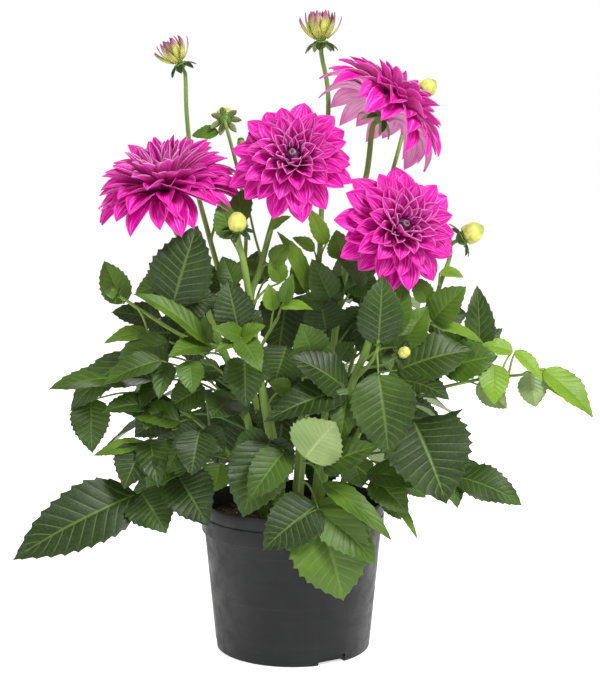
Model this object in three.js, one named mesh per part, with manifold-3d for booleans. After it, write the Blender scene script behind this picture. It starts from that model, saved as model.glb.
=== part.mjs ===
// Potted dahlia: a black nursery pot filled with soil, twelve leafy stems, four open blooms and
// seven pale buds. Millimetres, +Z up, the middle of the pot's base at the origin.
// The camera side of the plant is -Y.

import * as THREE from 'three';
import { mergeVertices } from 'three/addons/utils/BufferGeometryUtils.js';
import Module from 'manifold-3d';

const wasm = await Module();
wasm.setup();

// Driving dimensions

const GAP = 0.3;                    // clearance between neighbouring pieces

const POT_HEIGHT = 155;
const POT_RIM_RADIUS = 95;
const POT_FOOT_RADIUS = 80.5;
const POT_WALL = 2.2;
const POT_LIP_LINE = 141;           // groove under the top lip
const POT_COLLAR_LINE = 123.5;      // step under the collar
const POT_FACETS = 30;
const NOTCH_WIDTH = 31;
const NOTCH_HEIGHT = 8.5;
const NOTCH_ANGLES = [-60, 60, 180];
const DRAIN_RADIUS = 4.5;

const SOIL_TOP = 140;
const PEG_DEPTH = 12;               // how far a stem stands in its hole
const HOLE_CLEARANCE = 1.2;

const BLADE_THICKNESS = 1.3;
const PETAL_THICKNESS = 1.1;
const PETIOLE_RADIUS = 1.6;
const LEAFLET_STEP = 4.5;           // from one free leaflet's place on a stalk to the next
const LEAF_FULLNESS = 1.12;         // leaf widths in the list below are as seen, a little foreshortened

const PETALS_PER_BLOOM = 30;
const GOLDEN_ANGLE = THREE.MathUtils.degToRad(137.508);
const CORE_HEIGHT = 14;

const UP = new THREE.Vector3(0, 0, 1);

// Materials, one for each colour of the real thing

const potPlastic = new THREE.MeshStandardMaterial({ color: 0x26282a, roughness: 0.5, metalness: 0 });
const soilEarth = new THREE.MeshStandardMaterial({ color: 0x2e2118, roughness: 1, metalness: 0 });
const leafGreen = new THREE.MeshStandardMaterial({ color: 0x35601f, roughness: 0.6, metalness: 0 });
const petalMagenta = new THREE.MeshStandardMaterial({ color: 0xe010a0, roughness: 0.6, metalness: 0 });
const heartPurple = new THREE.MeshStandardMaterial({ color: 0x5a1a55, roughness: 0.6, metalness: 0 });
const budYellow = new THREE.MeshStandardMaterial({ color: 0xc6c856, roughness: 0.6, metalness: 0 });

// Small helpers

const vec = (x, y, z) => new THREE.Vector3(x, y, z);
const radians = (degrees) => THREE.MathUtils.degToRad(degrees);
const mix = (a, b, k) => a + (b - a) * k;

// Even-looking scatter between 0 and 1 from two whole numbers.
function scatter(a, b) {
  const s = Math.sin(a * 12.9898 + b * 78.233) * 43758.5453;
  return s - Math.floor(s);
}

function solidFromArrays(points, faces) {
  return new wasm.Manifold(new wasm.Mesh({
    numProp: 3,
    vertProperties: Float32Array.from(points),
    triVerts: Uint32Array.from(faces),
  }));
}

function solidFromGeometry(geometry) {
  const plain = geometry.index ? geometry.toNonIndexed() : geometry.clone();
  plain.deleteAttribute('normal');
  plain.deleteAttribute('uv');
  const welded = mergeVertices(plain, 1e-4);
  const index = welded.index.array;
  const faces = [];
  for (let i = 0; i < index.length; i += 3) {
    const [a, b, c] = [index[i], index[i + 1], index[i + 2]];
    if (a !== b && b !== c && c !== a) faces.push(a, b, c);
  }
  return solidFromArrays(welded.attributes.position.array, faces);
}

function fuse(solids) {
  let whole = solids[0];
  for (let i = 1; i < solids.length; i += 1) whole = whole.add(solids[i]);
  return whole;
}

// Signed volume of each connected shell, so that sealed hollows and scraps can be left out.
function largestShell(points, faces) {
  const count = points.length / 3;
  const parent = Array.from({ length: count }, (_, i) => i);
  const find = (i) => {
    let root = i;
    while (parent[root] !== root) root = parent[root];
    while (parent[i] !== root) [parent[i], i] = [root, parent[i]];
    return root;
  };
  for (let i = 0; i < faces.length; i += 3) {
    parent[find(faces[i])] = find(faces[i + 1]);
    parent[find(faces[i + 1])] = find(faces[i + 2]);
  }
  const volumes = new Map();
  const corner = (i) => vec(points[3 * i], points[3 * i + 1], points[3 * i + 2]);
  for (let i = 0; i < faces.length; i += 3) {
    const root = find(faces[i]);
    const [a, b, c] = [corner(faces[i]), corner(faces[i + 1]), corner(faces[i + 2])];
    volumes.set(root, (volumes.get(root) ?? 0) + a.dot(b.cross(c)) / 6);
  }
  const largest = [...volumes.entries()].sort((p, q) => q[1] - p[1])[0][0];
  const kept = [];
  for (let i = 0; i < faces.length; i += 3) {
    if (find(faces[i]) === largest) kept.push(faces[i], faces[i + 1], faces[i + 2]);
  }
  return kept;
}

function meshFromSolid(name, solid, material) {
  const data = solid.getMesh();
  const faces = largestShell(data.vertProperties, data.triVerts);
  const geometry = new THREE.BufferGeometry();
  geometry.setAttribute('position', new THREE.BufferAttribute(Float32Array.from(data.vertProperties), 3));
  geometry.setIndex(faces);
  geometry.computeVertexNormals();
  const mesh = new THREE.Mesh(geometry, material);
  mesh.name = name;
  return mesh;
}

function lathe(profile, facets) {
  const points = profile.map(([radius, height]) => new THREE.Vector2(radius, height));
  const geometry = new THREE.LatheGeometry(points, facets);
  geometry.rotateX(Math.PI / 2);
  return geometry;
}

// A cylinder standing on its base along +Z.
function standingCylinder(radius, height, sides, x, y, z) {
  const geometry = new THREE.CylinderGeometry(radius, radius, height, sides);
  geometry.rotateX(Math.PI / 2);
  geometry.translate(x, y, z + height / 2);
  return geometry;
}

// A tapering tube along a smooth path through the given points.
function taperedTube(points, startRadius, endRadius, sides, steps) {
  const path = new THREE.CatmullRomCurve3(points, false, 'catmullrom', 0.5);
  const corners = [];
  for (let i = 0; i < sides; i += 1) {
    const angle = (i / sides) * 2 * Math.PI;
    corners.push(new THREE.Vector2(startRadius * Math.cos(angle), startRadius * Math.sin(angle)));
  }
  const section = new THREE.Shape(corners);
  const geometry = new THREE.ExtrudeGeometry(section, { steps, bevelEnabled: false, extrudePath: path });
  const centres = path.getSpacedPoints(steps);
  const position = geometry.attributes.position;
  const point = vec(0, 0, 0);
  for (let i = 0; i < position.count; i += 1) {
    point.fromBufferAttribute(position, i);
    let ring = 0;
    for (let j = 1; j <= steps; j += 1) {
      if (point.distanceTo(centres[j]) < point.distanceTo(centres[ring])) ring = j;
    }
    const scale = mix(1, endRadius / startRadius, ring / steps);
    point.sub(centres[ring]).multiplyScalar(scale).add(centres[ring]);
    position.setXYZ(i, point.x, point.y, point.z);
  }
  return solidFromGeometry(geometry);
}

// The part of a direction that stands square to a given line, as a unit vector.
function squareTo(direction, line) {
  return direction.clone().addScaledVector(line, -direction.dot(line) / line.lengthSq()).normalize();
}

// A thin blade, closed all round: its outline runs up both sides of an arched axis, and the
// rib stations stand above and below it by half the thickness. With a stalk, given as the
// points that lead to the base, the blade grows out of the stalk's last ring, and pairs of side
// leaflets grow out of the stalk's last stretches.
// side: list of [t, half width] up one side. rib: list of t. pairs: size of each pair of side
// leaflets as a share of the end one, the last pair first.
function blade({ base, tip, normal, arch, fold, side, rib, thickness, stalk, pairs = [] }) {
  const along = tip.clone().sub(base);
  const face = squareTo(normal, along);
  const middle = base.clone().add(tip).multiplyScalar(0.5).addScaledVector(face, arch * along.length());
  const axis = new THREE.QuadraticBezierCurve3(base, middle, tip);
  const across = along.clone().normalize().cross(face);
  const points = [];
  const faces = [];
  const put = (p) => {
    points.push(p.x, p.y, p.z);
    return points.length / 3 - 1;
  };
  const triangle = (flip, a, b, c) => {
    if (a === b || b === c || c === a) return;
    if (flip) faces.push(a, c, b);
    else faces.push(a, b, c);
  };
  // Four corners round a point of the stalk: one side, top, other side, bottom.
  const ringAt = (centre, heading, radius) => {
    const top = squareTo(face, heading);
    const right = heading.clone().normalize().cross(top);
    return [right, top, right.clone().negate(), top.clone().negate()]
      .map((out) => put(centre.clone().addScaledVector(out, radius)));
  };
  // A side leaflet between two rings, on the right (sign 1) or the left (sign -1).
  const sideLeaflet = (near, far, root, share, sign) => {
    const reach = along.length() * share;
    const end = root.clone()
      .addScaledVector(along, 0.55 * share)
      .addScaledVector(across, 0.8 * sign * reach)
      .addScaledVector(face, -0.12 * reach);
    const way = end.clone().sub(root);
    const up = squareTo(face, way);
    const out = way.clone().normalize().cross(up);
    const spot = (t, lateral, lift) => root.clone().addScaledVector(way, t)
      .addScaledVector(out, lateral).addScaledVector(up, 4 * arch * t * (1 - t) * reach * 0.5 + lift);
    const half = side.reduce((most, [, width]) => Math.max(most, width), 0) * share;
    const edge = toothedSide(half, half > 16 ? 2 : 1);
    const outline = [
      near[sign > 0 ? 0 : 2],
      ...edge.map(([t, width]) => put(spot(t, sign * width, 0.2 * width))),
      put(end),
      ...edge.reverse().map(([t, width]) => put(spot(t, -sign * width, 0.2 * width))),
      far[sign > 0 ? 0 : 2],
    ];
    for (const [corner, flip] of [[1, sign < 0], [3, sign > 0]]) {
      const centre = put(spot(0.42, 0, (corner === 1 ? 0.5 : -0.5) * thickness));
      const loop = [...outline, far[corner], near[corner]];
      loop.forEach((id, i) => triangle(flip, centre, id, loop[(i + 1) % loop.length]));
    }
  };
  let root = null;
  if (stalk) {
    const line = [...stalk];
    const last = line[line.length - 1];
    const run = base.clone().sub(last);
    pairs.forEach((share, i) => {
      const span = Math.min(0.3, 8 / run.length());
      const at = 1 - (pairs.length - i) * span * 1.9;
      line.push(last.clone().addScaledVector(run, at));
      if (i < pairs.length - 1) line.push(last.clone().addScaledVector(run, at + span));
    });
    line.push(base);
    const rings = line.map((centre, i) => {
      const heading = (line[i + 1] ?? middle).clone().sub(line[Math.max(i - 1, 0)]);
      return ringAt(centre, heading, mix(PETIOLE_RADIUS, 1, i / (line.length - 1)));
    });
    triangle(false, rings[0][0], rings[0][1], rings[0][2]);
    triangle(false, rings[0][0], rings[0][2], rings[0][3]);
    for (let k = 1; k < rings.length; k += 1) {
      const pair = (rings.length - 1 - k) / 2;
      if (Number.isInteger(pair) && pair < pairs.length) {
        const centre = line[k - 1].clone().add(line[k]).multiplyScalar(0.5);
        for (const sign of [1, -1]) {
          sideLeaflet(rings[k - 1], rings[k], centre, pairs[pair] * (sign > 0 ? 1 : 0.92), sign);
        }
        continue;
      }
      for (let i = 0; i < 4; i += 1) {
        const j = (i + 1) % 4;
        triangle(false, rings[k - 1][i], rings[k][i], rings[k - 1][j]);
        triangle(false, rings[k - 1][j], rings[k][i], rings[k][j]);
      }
    }
    root = rings[rings.length - 1];
  } else {
    const point = put(base);
    root = [point, point, point, point];
  }
  const last = put(tip);
  const edges = [1, -1].map((sign) => [
    { t: 0, id: root[sign > 0 ? 0 : 2] },
    ...side.map(([t, half]) => {
      const p = axis.getPoint(t).addScaledVector(across, sign * half).addScaledVector(face, fold * half);
      return { t, id: put(p) };
    }),
    { t: 1, id: last },
  ]);
  const ribs = [1, -1].map((sign) => [
    { t: 0, id: root[sign > 0 ? 1 : 3] },
    ...rib.map((t) => ({ t, id: put(axis.getPoint(t).addScaledVector(face, (sign * thickness) / 2)) })),
    { t: 1, id: last },
  ]);
  const stitch = (ribLine, edgeLine, flip) => {
    let i = 0;
    let j = 0;
    while (i < ribLine.length - 1 || j < edgeLine.length - 1) {
      const ribNext = i < ribLine.length - 1 ? ribLine[i + 1].t : Infinity;
      const edgeNext = j < edgeLine.length - 1 ? edgeLine[j + 1].t : Infinity;
      if (edgeNext <= ribNext) {
        triangle(flip, ribLine[i].id, edgeLine[j].id, edgeLine[j + 1].id);
        j += 1;
      } else {
        triangle(flip, ribLine[i].id, edgeLine[j].id, ribLine[i + 1].id);
        i += 1;
      }
    }
  };
  stitch(ribs[0], edges[0], false);
  stitch(ribs[0], edges[1], true);
  stitch(ribs[1], edges[0], true);
  stitch(ribs[1], edges[1], false);
  return solidFromArrays(points, faces);
}

// Half width of a leaflet along its length, 1 at the widest place.
function leafWidth(t) {
  return (t ** 0.55 * (1 - t) ** 0.9) / 0.3815;
}

// Stations up one side of a leaflet with forward-pointing teeth.
function toothedSide(half, teeth) {
  const side = [];
  for (let i = 0; i < teeth; i += 1) {
    const peak = (i + 0.82) / (teeth + 0.75);
    const notch = peak + 0.035;
    side.push([peak, half * leafWidth(peak) * 1.06]);
    side.push([notch, half * leafWidth(notch) * 0.8]);
  }
  return side;
}

// An end leaflet, with its stalk and side leaflets where they are given.
function leaflet(base, tip, normal, width, stalk, pairs) {
  const teeth = width > 56 ? 4 : width > 40 ? 3 : width > 20 ? 2 : 1;
  return blade({
    base,
    tip,
    normal,
    arch: 0.13,
    fold: 0.22,
    side: toothedSide((LEAF_FULLNESS * width) / 2, teeth),
    rib: teeth > 3 ? [0.16, 0.42, 0.72] : teeth > 1 ? [0.2, 0.6] : [0.45],
    thickness: BLADE_THICKNESS,
    stalk,
    pairs,
  });
}

// Which way a leaf's upper side faces: outward from the pot's axis and up, unless it is given
// as [azimuth, elevation] in degrees.
function facing(joint, turn) {
  if (turn) {
    const [azimuth, elevation] = turn.map(radians);
    return vec(
      Math.cos(azimuth) * Math.cos(elevation),
      Math.sin(azimuth) * Math.cos(elevation),
      Math.sin(elevation),
    );
  }
  return vec(joint.x, joint.y, 0).normalize().multiplyScalar(0.6).add(vec(0, 0, 0.8)).normalize();
}

// The arched middle of a leaf's stalk.
function stalkBend(from, joint) {
  return from.clone().add(joint).multiplyScalar(0.5).addScaledVector(UP, 0.12 * joint.distanceTo(from));
}

// One leaf: a stalk from the stem to the joint, an end leaflet, and pairs of side leaflets
// before it, given by the size of the first pair as a share of the end one (0 for none, over 1
// for a second pair with the share left over 1).
function leaf(from, joint, tip, width, pair, turn) {
  const normal = facing(joint, turn);
  if (!from) return leaflet(joint, tip, normal, width);
  const bend = stalkBend(from, joint);
  const share = pair > 1 ? pair - 1 : pair;
  const pairs = pair > 1 ? [share, share * 0.8] : pair > 0 ? [share] : [];
  return leaflet(joint, tip, normal, width, [from, bend], pairs);
}

// Leafy stems.
// path: the main stem. radii: at its foot and at its top. branches: side stems, each
// [height on the main stem, points, radius].
// leaves: [path number, place on it, joint, tip, width, side leaflets, facing], where the place
// is a height on the main stem or a share of a side stem's length, and a leaflet with no joint
// of its own sits on the stalk of the leaf before it.
// around: leaves set by direction, each [height, azimuth, reach, rise, length, drop, width,
// side leaflets].
// heads: what each path carries at its end, in the order of the paths.

const stems = {
  stem_left_bloom: {
    path: [[-30, -14, 141], [-42, -24, 225], [-64, -32, 300], [-84, -36, 352], [-101, -32, 405]],
    radii: [4.6, 2.9],
    branches: [[318, [[-110, -34, 330], [-150, -30, 354]], 1.9]],
    leaves: [
      [0, 310, [-117, -74, 366], [-93, -66, 444], 56, 0.5, [-90, 20]],
      [0, 285, [-84, -84, 329], [-153, -95, 384], 24, 0, [-70, 60]],
      [0, -1, null, [-108, -66, 362], 22, 0, [-90, 30]],
      [0, -1, null, [-118, -116, 322], 25, 0, [-90, 55]],
      [0, 318, [-120, -38, 384], [-157, -42, 374], 28, 0, [-90, 30]],
      [1, 0.85, [-172, -14, 361], [-193, -8, 405], 28, 0, [-90, 10]],
      [1, 0.4, [-134, -6, 340], [-186, -6, 352], 30, 0, [-90, 50]],
      [1, 0.55, [-145, -38, 333], [-190, -42, 326], 20, 0, [-90, 50]],
      [0, 255, [-140, -50, 288], [-241, -72, 282], 44, 0.5, [-90, 66]],
      [0, 270, [-160, -50, 314], [-224, -62, 258], 30, 0, [-90, 40]],
      [0, 276, [-124, -46, 326], [-182, -56, 296], 32, 0, [-90, 40]],
      [0, 275, [-72, -46, 296], [-108, -52, 294], 24, 0, [-90, 40]],
      [0, 240, [-128, -84, 312], [-184, -100, 292], 28, 0.75, [-90, 50]],
      [0, 272, [-100, -95, 313], [-96, -112, 284], 24, 0, [-90, 40]],
      [0, 250, [-62, -68, 270], [-78, -108, 262], 38, 1.65, [-90, 40]],
    ],
    heads: ['left', 'side_left'],
  },
  stem_left_low: {
    path: [[-46, 2, 141], [-58, -10, 190], [-80, -28, 225], [-104, -48, 252], [-132, -56, 268]],
    radii: [3.8, 2],
    branches: [],
    leaves: [
      [0, 178, [-156, -62, 174], [-275, -112, 121], 58, 0, [-90, 30]],
      [0, -1, null, [-124, -97, 143], 46, 0, [-90, 30]],
      [0, 205, [-114, -66, 192], [-82, -110, 153], 46, 0, [-90, 35]],
      [0, 264, [-202, -52, 268], [-198, -79, 219], 36, 0, [-90, 20]],
      [0, 232, [-150, -66, 227], [-197, -76, 216], 14, 0, [-90, 30]],
      [0, -1, null, [-166, -92, 186], 42, 0, [-90, 35]],
      [0, -1, null, [-131, -102, 190], 29, 0, [-90, 35]],
      [0, 238, [-111, -76, 250], [-166, -84, 262], 30, 0, [-90, 50]],
      [0, 250, [-141, -72, 266], [-186, -92, 264], 26, 0.8, [-90, 55]],
      [0, 240, [-116, -56, 264], [-158, -62, 232], 42, 0, [-90, 35]],
      [0, 230, [-88, -60, 282], [-122, -66, 262], 34, 0, [-90, 35]],
      [0, 215, [-91, -90, 243], [-98, -114, 204], 37, 0.75, [-90, 35]],
      [0, 215, [-112, -36, 224], [-128, -42, 190], 30, 0, [-90, 20]],
      [0, 200, [-124, -32, 198], [-150, -38, 174], 26, 0, [-90, 30]],
      [0, 172, [-74, -38, 200], [-80, -46, 172], 30, 0, [-90, 20]],
    ],
    heads: [],
  },
  stem_left_back: {
    path: [[-24, 20, 141], [-34, 24, 230], [-56, 18, 320], [-75, 10, 388], [-88, 30, 430],
      [-104, 48, 490], [-110, 42, 550]],
    radii: [4, 2.2],
    branches: [[405, [[-84, 18, 425], [-73, 30, 460]], 1.5]],
    leaves: [
      [0, 310, [-98, 34, 356], [-106, 30, 290], 50, 0.7, [-90, 15]],
      [0, 205, [-70, 44, 246], [-80, 40, 178], 50, 0.7, [-90, 20]],
    ],
    around: [
      [250, 150, 85, 30, 78, -30, 44, 1.65],
      [345, 140, 60, 20, 60, -16, 38, 1.65],
      [290, 180, 64, 14, 56, -22, 36, 0],
      [215, 175, 110, 20, 66, -40, 38, 0],
    ],
    heads: ['high_left', 'side_bud'],
  },
  stem_centre_bloom: {
    path: [[-10, 4, 141], [-20, -4, 220], [-36, -18, 300], [-42, -27, 366], [-33, -27, 396],
      [-18, -28, 450]],
    radii: [4.6, 2.9],
    branches: [
      [340, [[-48, -12, 390], [-48, 0, 440], [-55, 7, 490]], 2],
      [405, [[-40, -4, 435], [-52, 26, 490]], 1.2],
      [290, [[-32, -36, 318], [-14, -54, 352]], 1.9],
    ],
    leaves: [
      [1, 0.9, [-76, 14, 533], [-104, 16, 531], 16, 0, [-90, 40]],
      [0, 396, [-20, -40, 404], [-4, -38, 424], 18, 0, [-90, 20]],
      [0, 255, [-2, -56, 278], [-24, -60, 287], 18, 0, [-90, 30]],
      [0, 420, [-21, -36, 438], [-2, -42, 452], 12, 0, [-90, 50]],
      [0, 360, [-12, -34, 384], [-20, -38, 416], 18, 0, [-90, 20]],
      [0, 350, [-26, -8, 388], [-64, -14, 402], 22, 0, [-90, 50]],
      [0, 270, [-6, -36, 320], [-20, -46, 278], 44, 0, [-90, 20]],
      [3, 0.8, [-19, -52, 358], [-24, -52, 385], 16, 0, [-90, 20]],
      [3, 0.99, [-9, -60, 366], [0, -64, 396], 14, 0, [-90, 20]],
      [3, -1, null, [20, -74, 362], 15, 0, [-90, 50]],
    ],
    heads: ['centre', 'turned_bud', 'thin_bud', null],
  },
  stem_front_bud: {
    path: [[-14, -34, 141], [-22, -46, 220], [-32, -62, 290], [-39, -70, 346], [-46, -78, 400]],
    radii: [4.6, 3.4],
    branches: [],
    leaves: [
      [0, 405, [-60, -56, 440], [-43, -28, 480], 22, 0, [-90, 20]],
      [0, 395, [-60, -68, 430], [-71, -70, 468], 24, 0, [-90, 30]],
      [0, 350, [-58, -46, 382], [-70, -38, 412], 24, 0, [-90, 20]],
      [0, 312, [-52, -97, 344], [-63, -92, 393], 36, 0.6, [-90, 15]],
      [0, 322, [-50, -106, 337], [-29, -130, 308], 24, 0, [-90, 40]],
      [0, -1, null, [-26, -118, 351], 17, 0, [-90, 30]],
      [0, -1, null, [-76, -118, 349], 18, 0, [-90, 30]],
      [0, -1, null, [-75, -124, 325], 15, 0, [-90, 40]],
      [0, 290, [-46, -95, 312], [-45, -113, 271], 32, 0.7, [-90, 25]],
      [0, 215, [-22, -104, 235], [-48, -128, 166], 54, 0.55, [-90, 30]],
      [0, 208, [-8, -116, 228], [-42, -146, 186], 34, 0, [-90, 30]],
    ],
    heads: ['front_bud'],
  },
  stem_front_low: {
    path: [[6, -46, 141], [10, -54, 200], [14, -60, 250], [18, -66, 290]],
    radii: [3.8, 2],
    branches: [],
    leaves: [
      [0, 185, [25, -114, 172], [51, -124, 80], 70, 0, [-90, 20]],
      [0, -1, null, [-29, -140, 138], 48, 0, [-90, 30]],
      [0, -1, null, [82, -134, 122], 44, 0, [-90, 30]],
      [0, 205, [30, -110, 196], [97, -148, 150], 22, 0, [-90, 45]],
      [0, 218, [80, -92, 196], [112, -124, 168], 32, 0, [-90, 35]],
      [0, -1, null, [124, -120, 142], 14, 0, [-60, 40]],
      [0, -1, null, [137, -108, 194], 28, 0, [-90, 45]],
      [0, 228, [30, -118, 212], [82, -142, 241], 32, 0, [-90, 40]],
      [0, 236, [12, -138, 226], [42, -140, 262], 50, 0, [90, 10]],
      [0, 280, [20, -80, 318], [8, -98, 350], 34, 1.7, [-90, 20]],
    ],
    heads: [],
  },
  stem_right_front: {
    path: [[26, -22, 141], [38, -32, 220], [61, -52, 288], [74, -62, 323], [88, -52, 369],
      [91, -38, 403]],
    radii: [5.2, 3.4],
    branches: [
      [288, [[72, -80, 304], [80, -94, 318]], 2],
      [300, [[88, -86, 308], [97, -96, 315]], 1.4],
    ],
    leaves: [
      [1, 0.6, [83, -106, 302], [93, -128, 224], 56, 0, [-90, 28]],
      [1, 0.75, [83, -98, 330], [87, -98, 398], 40, 0, [-90, 12]],
      [0, 275, [104, -68, 300], [180, -68, 323], 50, 0.5, [-90, 40]],
      [0, 262, [108, -78, 292], [152, -112, 280], 32, 0, [-90, 55]],
      [0, 250, [54, -100, 287], [46, -122, 238], 29, 0, [-90, 25]],
      [0, -1, null, [-27, -127, 260], 40, 0, [-90, 45]],
      [0, -1, null, [-2, -108, 322], 42, 0, [-90, 45]],
      [0, 308, [108, -56, 322], [135, -48, 362], 30, 0.7, [-90, 30]],
      [0, 330, [98, -74, 340], [110, -68, 390], 26, 0.6, [-90, 10]],
    ],
    heads: ['right_low', 'young_bud', 'round_bud'],
  },
  stem_right_high: {
    path: [[22, 14, 141], [32, 12, 230], [44, 6, 330], [60, 0, 430], [75, -3, 492]],
    radii: [4.6, 2.9],
    branches: [[380, [[72, 20, 420], [95, 48, 465], [112, 78, 515]], 2.4]],
    leaves: [
      [0, 350, [76, -14, 388], [43, -30, 414], 40, 0.7, [-90, 40]],
      [0, 385, [50, -10, 406], [44, -12, 436], 24, 0, [-90, 20]],
      [0, 290, [48, -26, 306], [62, -32, 324], 20, 0, [-90, 30]],
      [0, 310, [86, 16, 352], [94, 12, 284], 50, 0.7, [-90, 15]],
      [0, 205, [60, 30, 246], [66, 26, 178], 50, 0.7, [-90, 20]],
    ],
    around: [
      [300, 50, 60, 30, 66, -14, 40, 1.65],
      [300, 10, 66, 24, 52, -20, 34, 0],
      [225, 5, 80, 30, 60, -34, 42, 1.6],
      [380, 95, 50, -10, 50, -8, 26, 0],
    ],
    heads: ['right_high', 'far_bud'],
  },
  stem_middle_bud: {
    path: [[2, 16, 141], [8, 18, 230], [18, 10, 330], [27, 4, 404], [30, 20, 460], [37, 50, 565]],
    radii: [4, 2.4],
    branches: [],
    leaves: [
      [0, 330, [38, -24, 367], [19, -32, 408], 28, 0.7, [-90, 15]],
      [0, 345, [16, -22, 374], [-14, -32, 436], 20, 0, [-50, 20]],
      [0, 395, [22, 0, 414], [0, -4, 428], 13, 0, [-90, 40]],
      [0, 352, [14, -8, 372], [-2, -12, 398], 22, 0, [-90, 20]],
      [0, 318, [34, -14, 334], [26, -20, 374], 38, 0, [-90, 15]],
      [0, 400, [34, 4, 420], [16, 2, 458], 16, 0, [-90, 20]],
      [0, 320, [-6, 16, 366], [-16, 10, 300], 48, 0.6, [-90, 15]],
      [0, 215, [-8, 30, 262], [-16, 24, 192], 50, 0.7, [-90, 15]],
    ],
    around: [
      [270, 100, 60, 40, 66, -10, 40, 1.65],
      [330, 60, 40, 26, 48, -4, 26, 0],
    ],
    heads: ['high_middle'],
  },
  stem_right_far: {
    path: [[46, 0, 141], [64, -2, 215], [92, -12, 270], [122, -20, 312], [141, -15, 349],
      [151, 0, 379], [161, 8, 405]],
    radii: [4, 2.3],
    branches: [[258, [[130, -30, 272], [189, -40, 287], [231, -42, 292], [246, -44, 298]], 1.8]],
    leaves: [
      [0, 375, [150, -6, 392], [174, -14, 388], 14, 0, [-90, 50]],
      [0, 335, [136, -26, 364], [121, -26, 390], 20, 0, [-90, 30]],
      [0, 322, [140, -42, 346], [172, -54, 382], 32, 0, [-90, 35]],
      [0, -1, null, [191, -64, 326], 18, 0, [-90, 60]],
      [0, 300, [190, -24, 312], [187, -20, 381], 28, 0.6, [-90, 10]],
      [0, 225, [118, -88, 254], [148, -132, 180], 78, 0, [-90, 38]],
      [0, 180, [62, -34, 204], [70, -44, 176], 32, 0, [-90, 20]],
      [0, 192, [110, -30, 188], [136, -36, 164], 24, 0, [-90, 35]],
      [0, 170, [94, -40, 168], [110, -48, 144], 20, 0, [-90, 35]],
      [0, -1, null, [162, -90, 268], 32, 0, [-90, 50]],
      [0, 200, [166, -44, 188], [231, -66, 166], 36, 0.55, [-90, 45]],
      [1, 0.12, [150, -46, 298], [206, -50, 312], 40, 0, [-90, 35]],
      [1, 0.4, [184, -54, 284], [214, -68, 262], 26, 0, [90, 20]],
      [1, 0.5, [200, -52, 304], [200, -70, 266], 28, 0, [-90, 20]],
      [1, 0.75, [238, -54, 296], [241, -68, 262], 26, 0, [90, 20]],
      [1, 0.65, [222, -56, 318], [248, -70, 290], 16, 0, [-90, 50]],
      [1, 0.97, [252, -46, 297], [298, -66, 253], 32, 0, [-90, 60]],
      [1, -1, null, [270, -50, 270], 14, 0, [-90, 30]],
      [1, 0.6, [222, -32, 314], [190, -30, 320], 20, 0, [-90, 50]],
    ],
    heads: ['far_right', null],
  },
  stem_back_left: {
    path: [[-20, 44, 141], [-34, 62, 210], [-52, 86, 280], [-64, 98, 330]],
    radii: [3.8, 2],
    branches: [],
    leaves: [
      [0, 325, [-74, 86, 352], [-82, 84, 396], 36, 0, [-90, 10]],
      [0, 262, [-56, 82, 284], [-74, 82, 242], 40, 0, [-90, 10]],
      [0, 300, [-112, 74, 318], [-158, 66, 322], 40, 0.5, [-90, 15]],
      [0, 205, [-96, 52, 222], [-148, 44, 204], 42, 0.5, [-90, 15]],
      [0, 180, [-112, 40, 178], [-172, 34, 154], 34, 0, [-90, 20]],
      [0, 330, [-44, 84, 372], [-36, 76, 410], 30, 0, [-90, 10]],
    ],
    around: [
      [190, 120, 60, 10, 74, -44, 46, 1.6],
      [240, 165, 70, 14, 70, -26, 40, 0],
      [270, 75, 45, 10, 64, -24, 36, 0.6],
      [325, 130, 40, 20, 56, -8, 34, 0.6],
    ],
    heads: [],
  },
  stem_back_right: {
    path: [[22, 42, 141], [40, 60, 210], [62, 82, 280], [78, 92, 335]],
    radii: [3.8, 2],
    branches: [],
    leaves: [
      [0, 333, [64, 102, 362], [48, 104, 398], 32, 0, [-90, 10]],
      [0, 326, [72, 84, 350], [82, 82, 388], 36, 0, [-90, 10]],
      [0, 262, [70, 56, 284], [84, 48, 256], 34, 0, [-90, 10]],
      [0, 270, [42, 74, 294], [32, 74, 330], 30, 0, [-90, 10]],
      [0, 290, [140, 66, 336], [186, 58, 342], 38, 0, [-90, 15]],
      [0, 185, [36, 42, 196], [20, 36, 160], 40, 0, [-90, 10]],
      [0, 222, [112, 62, 232], [162, 60, 226], 40, 0, [-90, 15]],
      [0, 250, [20, 60, 272], [-6, 54, 262], 34, 0, [-90, 10]],
    ],
    around: [
      [190, 60, 60, 10, 74, -44, 46, 1.6],
      [235, 15, 70, 14, 68, -26, 40, 0],
      [265, 100, 40, 12, 66, -22, 36, 0.6],
      [330, 45, 40, 18, 54, -8, 34, 0.6],
    ],
    heads: [],
  },
};

// Blooms: the top of the stem's head, the way the bloom faces, its size, its turn about its
// own axis, and how far the outer petals first rise and then hang (all in degrees).
const blooms = {
  left: {
    at: [-125, -28, 470], axis: [-0.14, -0.36, 0.92], size: 1.3,
    turn: 0, lift: 16, hang: 42, crown: 32,
  },
  centre: {
    at: [0, -50, 503], axis: [0, -0.89, 0.45], size: 1.06,
    turn: 8, lift: 0, hang: 0, crown: 20,
  },
  right_low: {
    at: [103, -54, 436], axis: [0.3, -0.88, 0.38], size: 1.1,
    turn: 85, lift: 2, hang: 2, crown: 20,
  },
  right_high: {
    at: [90, 2, 550], axis: [0.62, 0.12, 0.78], size: 1.25,
    turn: 120, lift: 24, hang: 76, crown: 26, neck: 12,
  },
};

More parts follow.
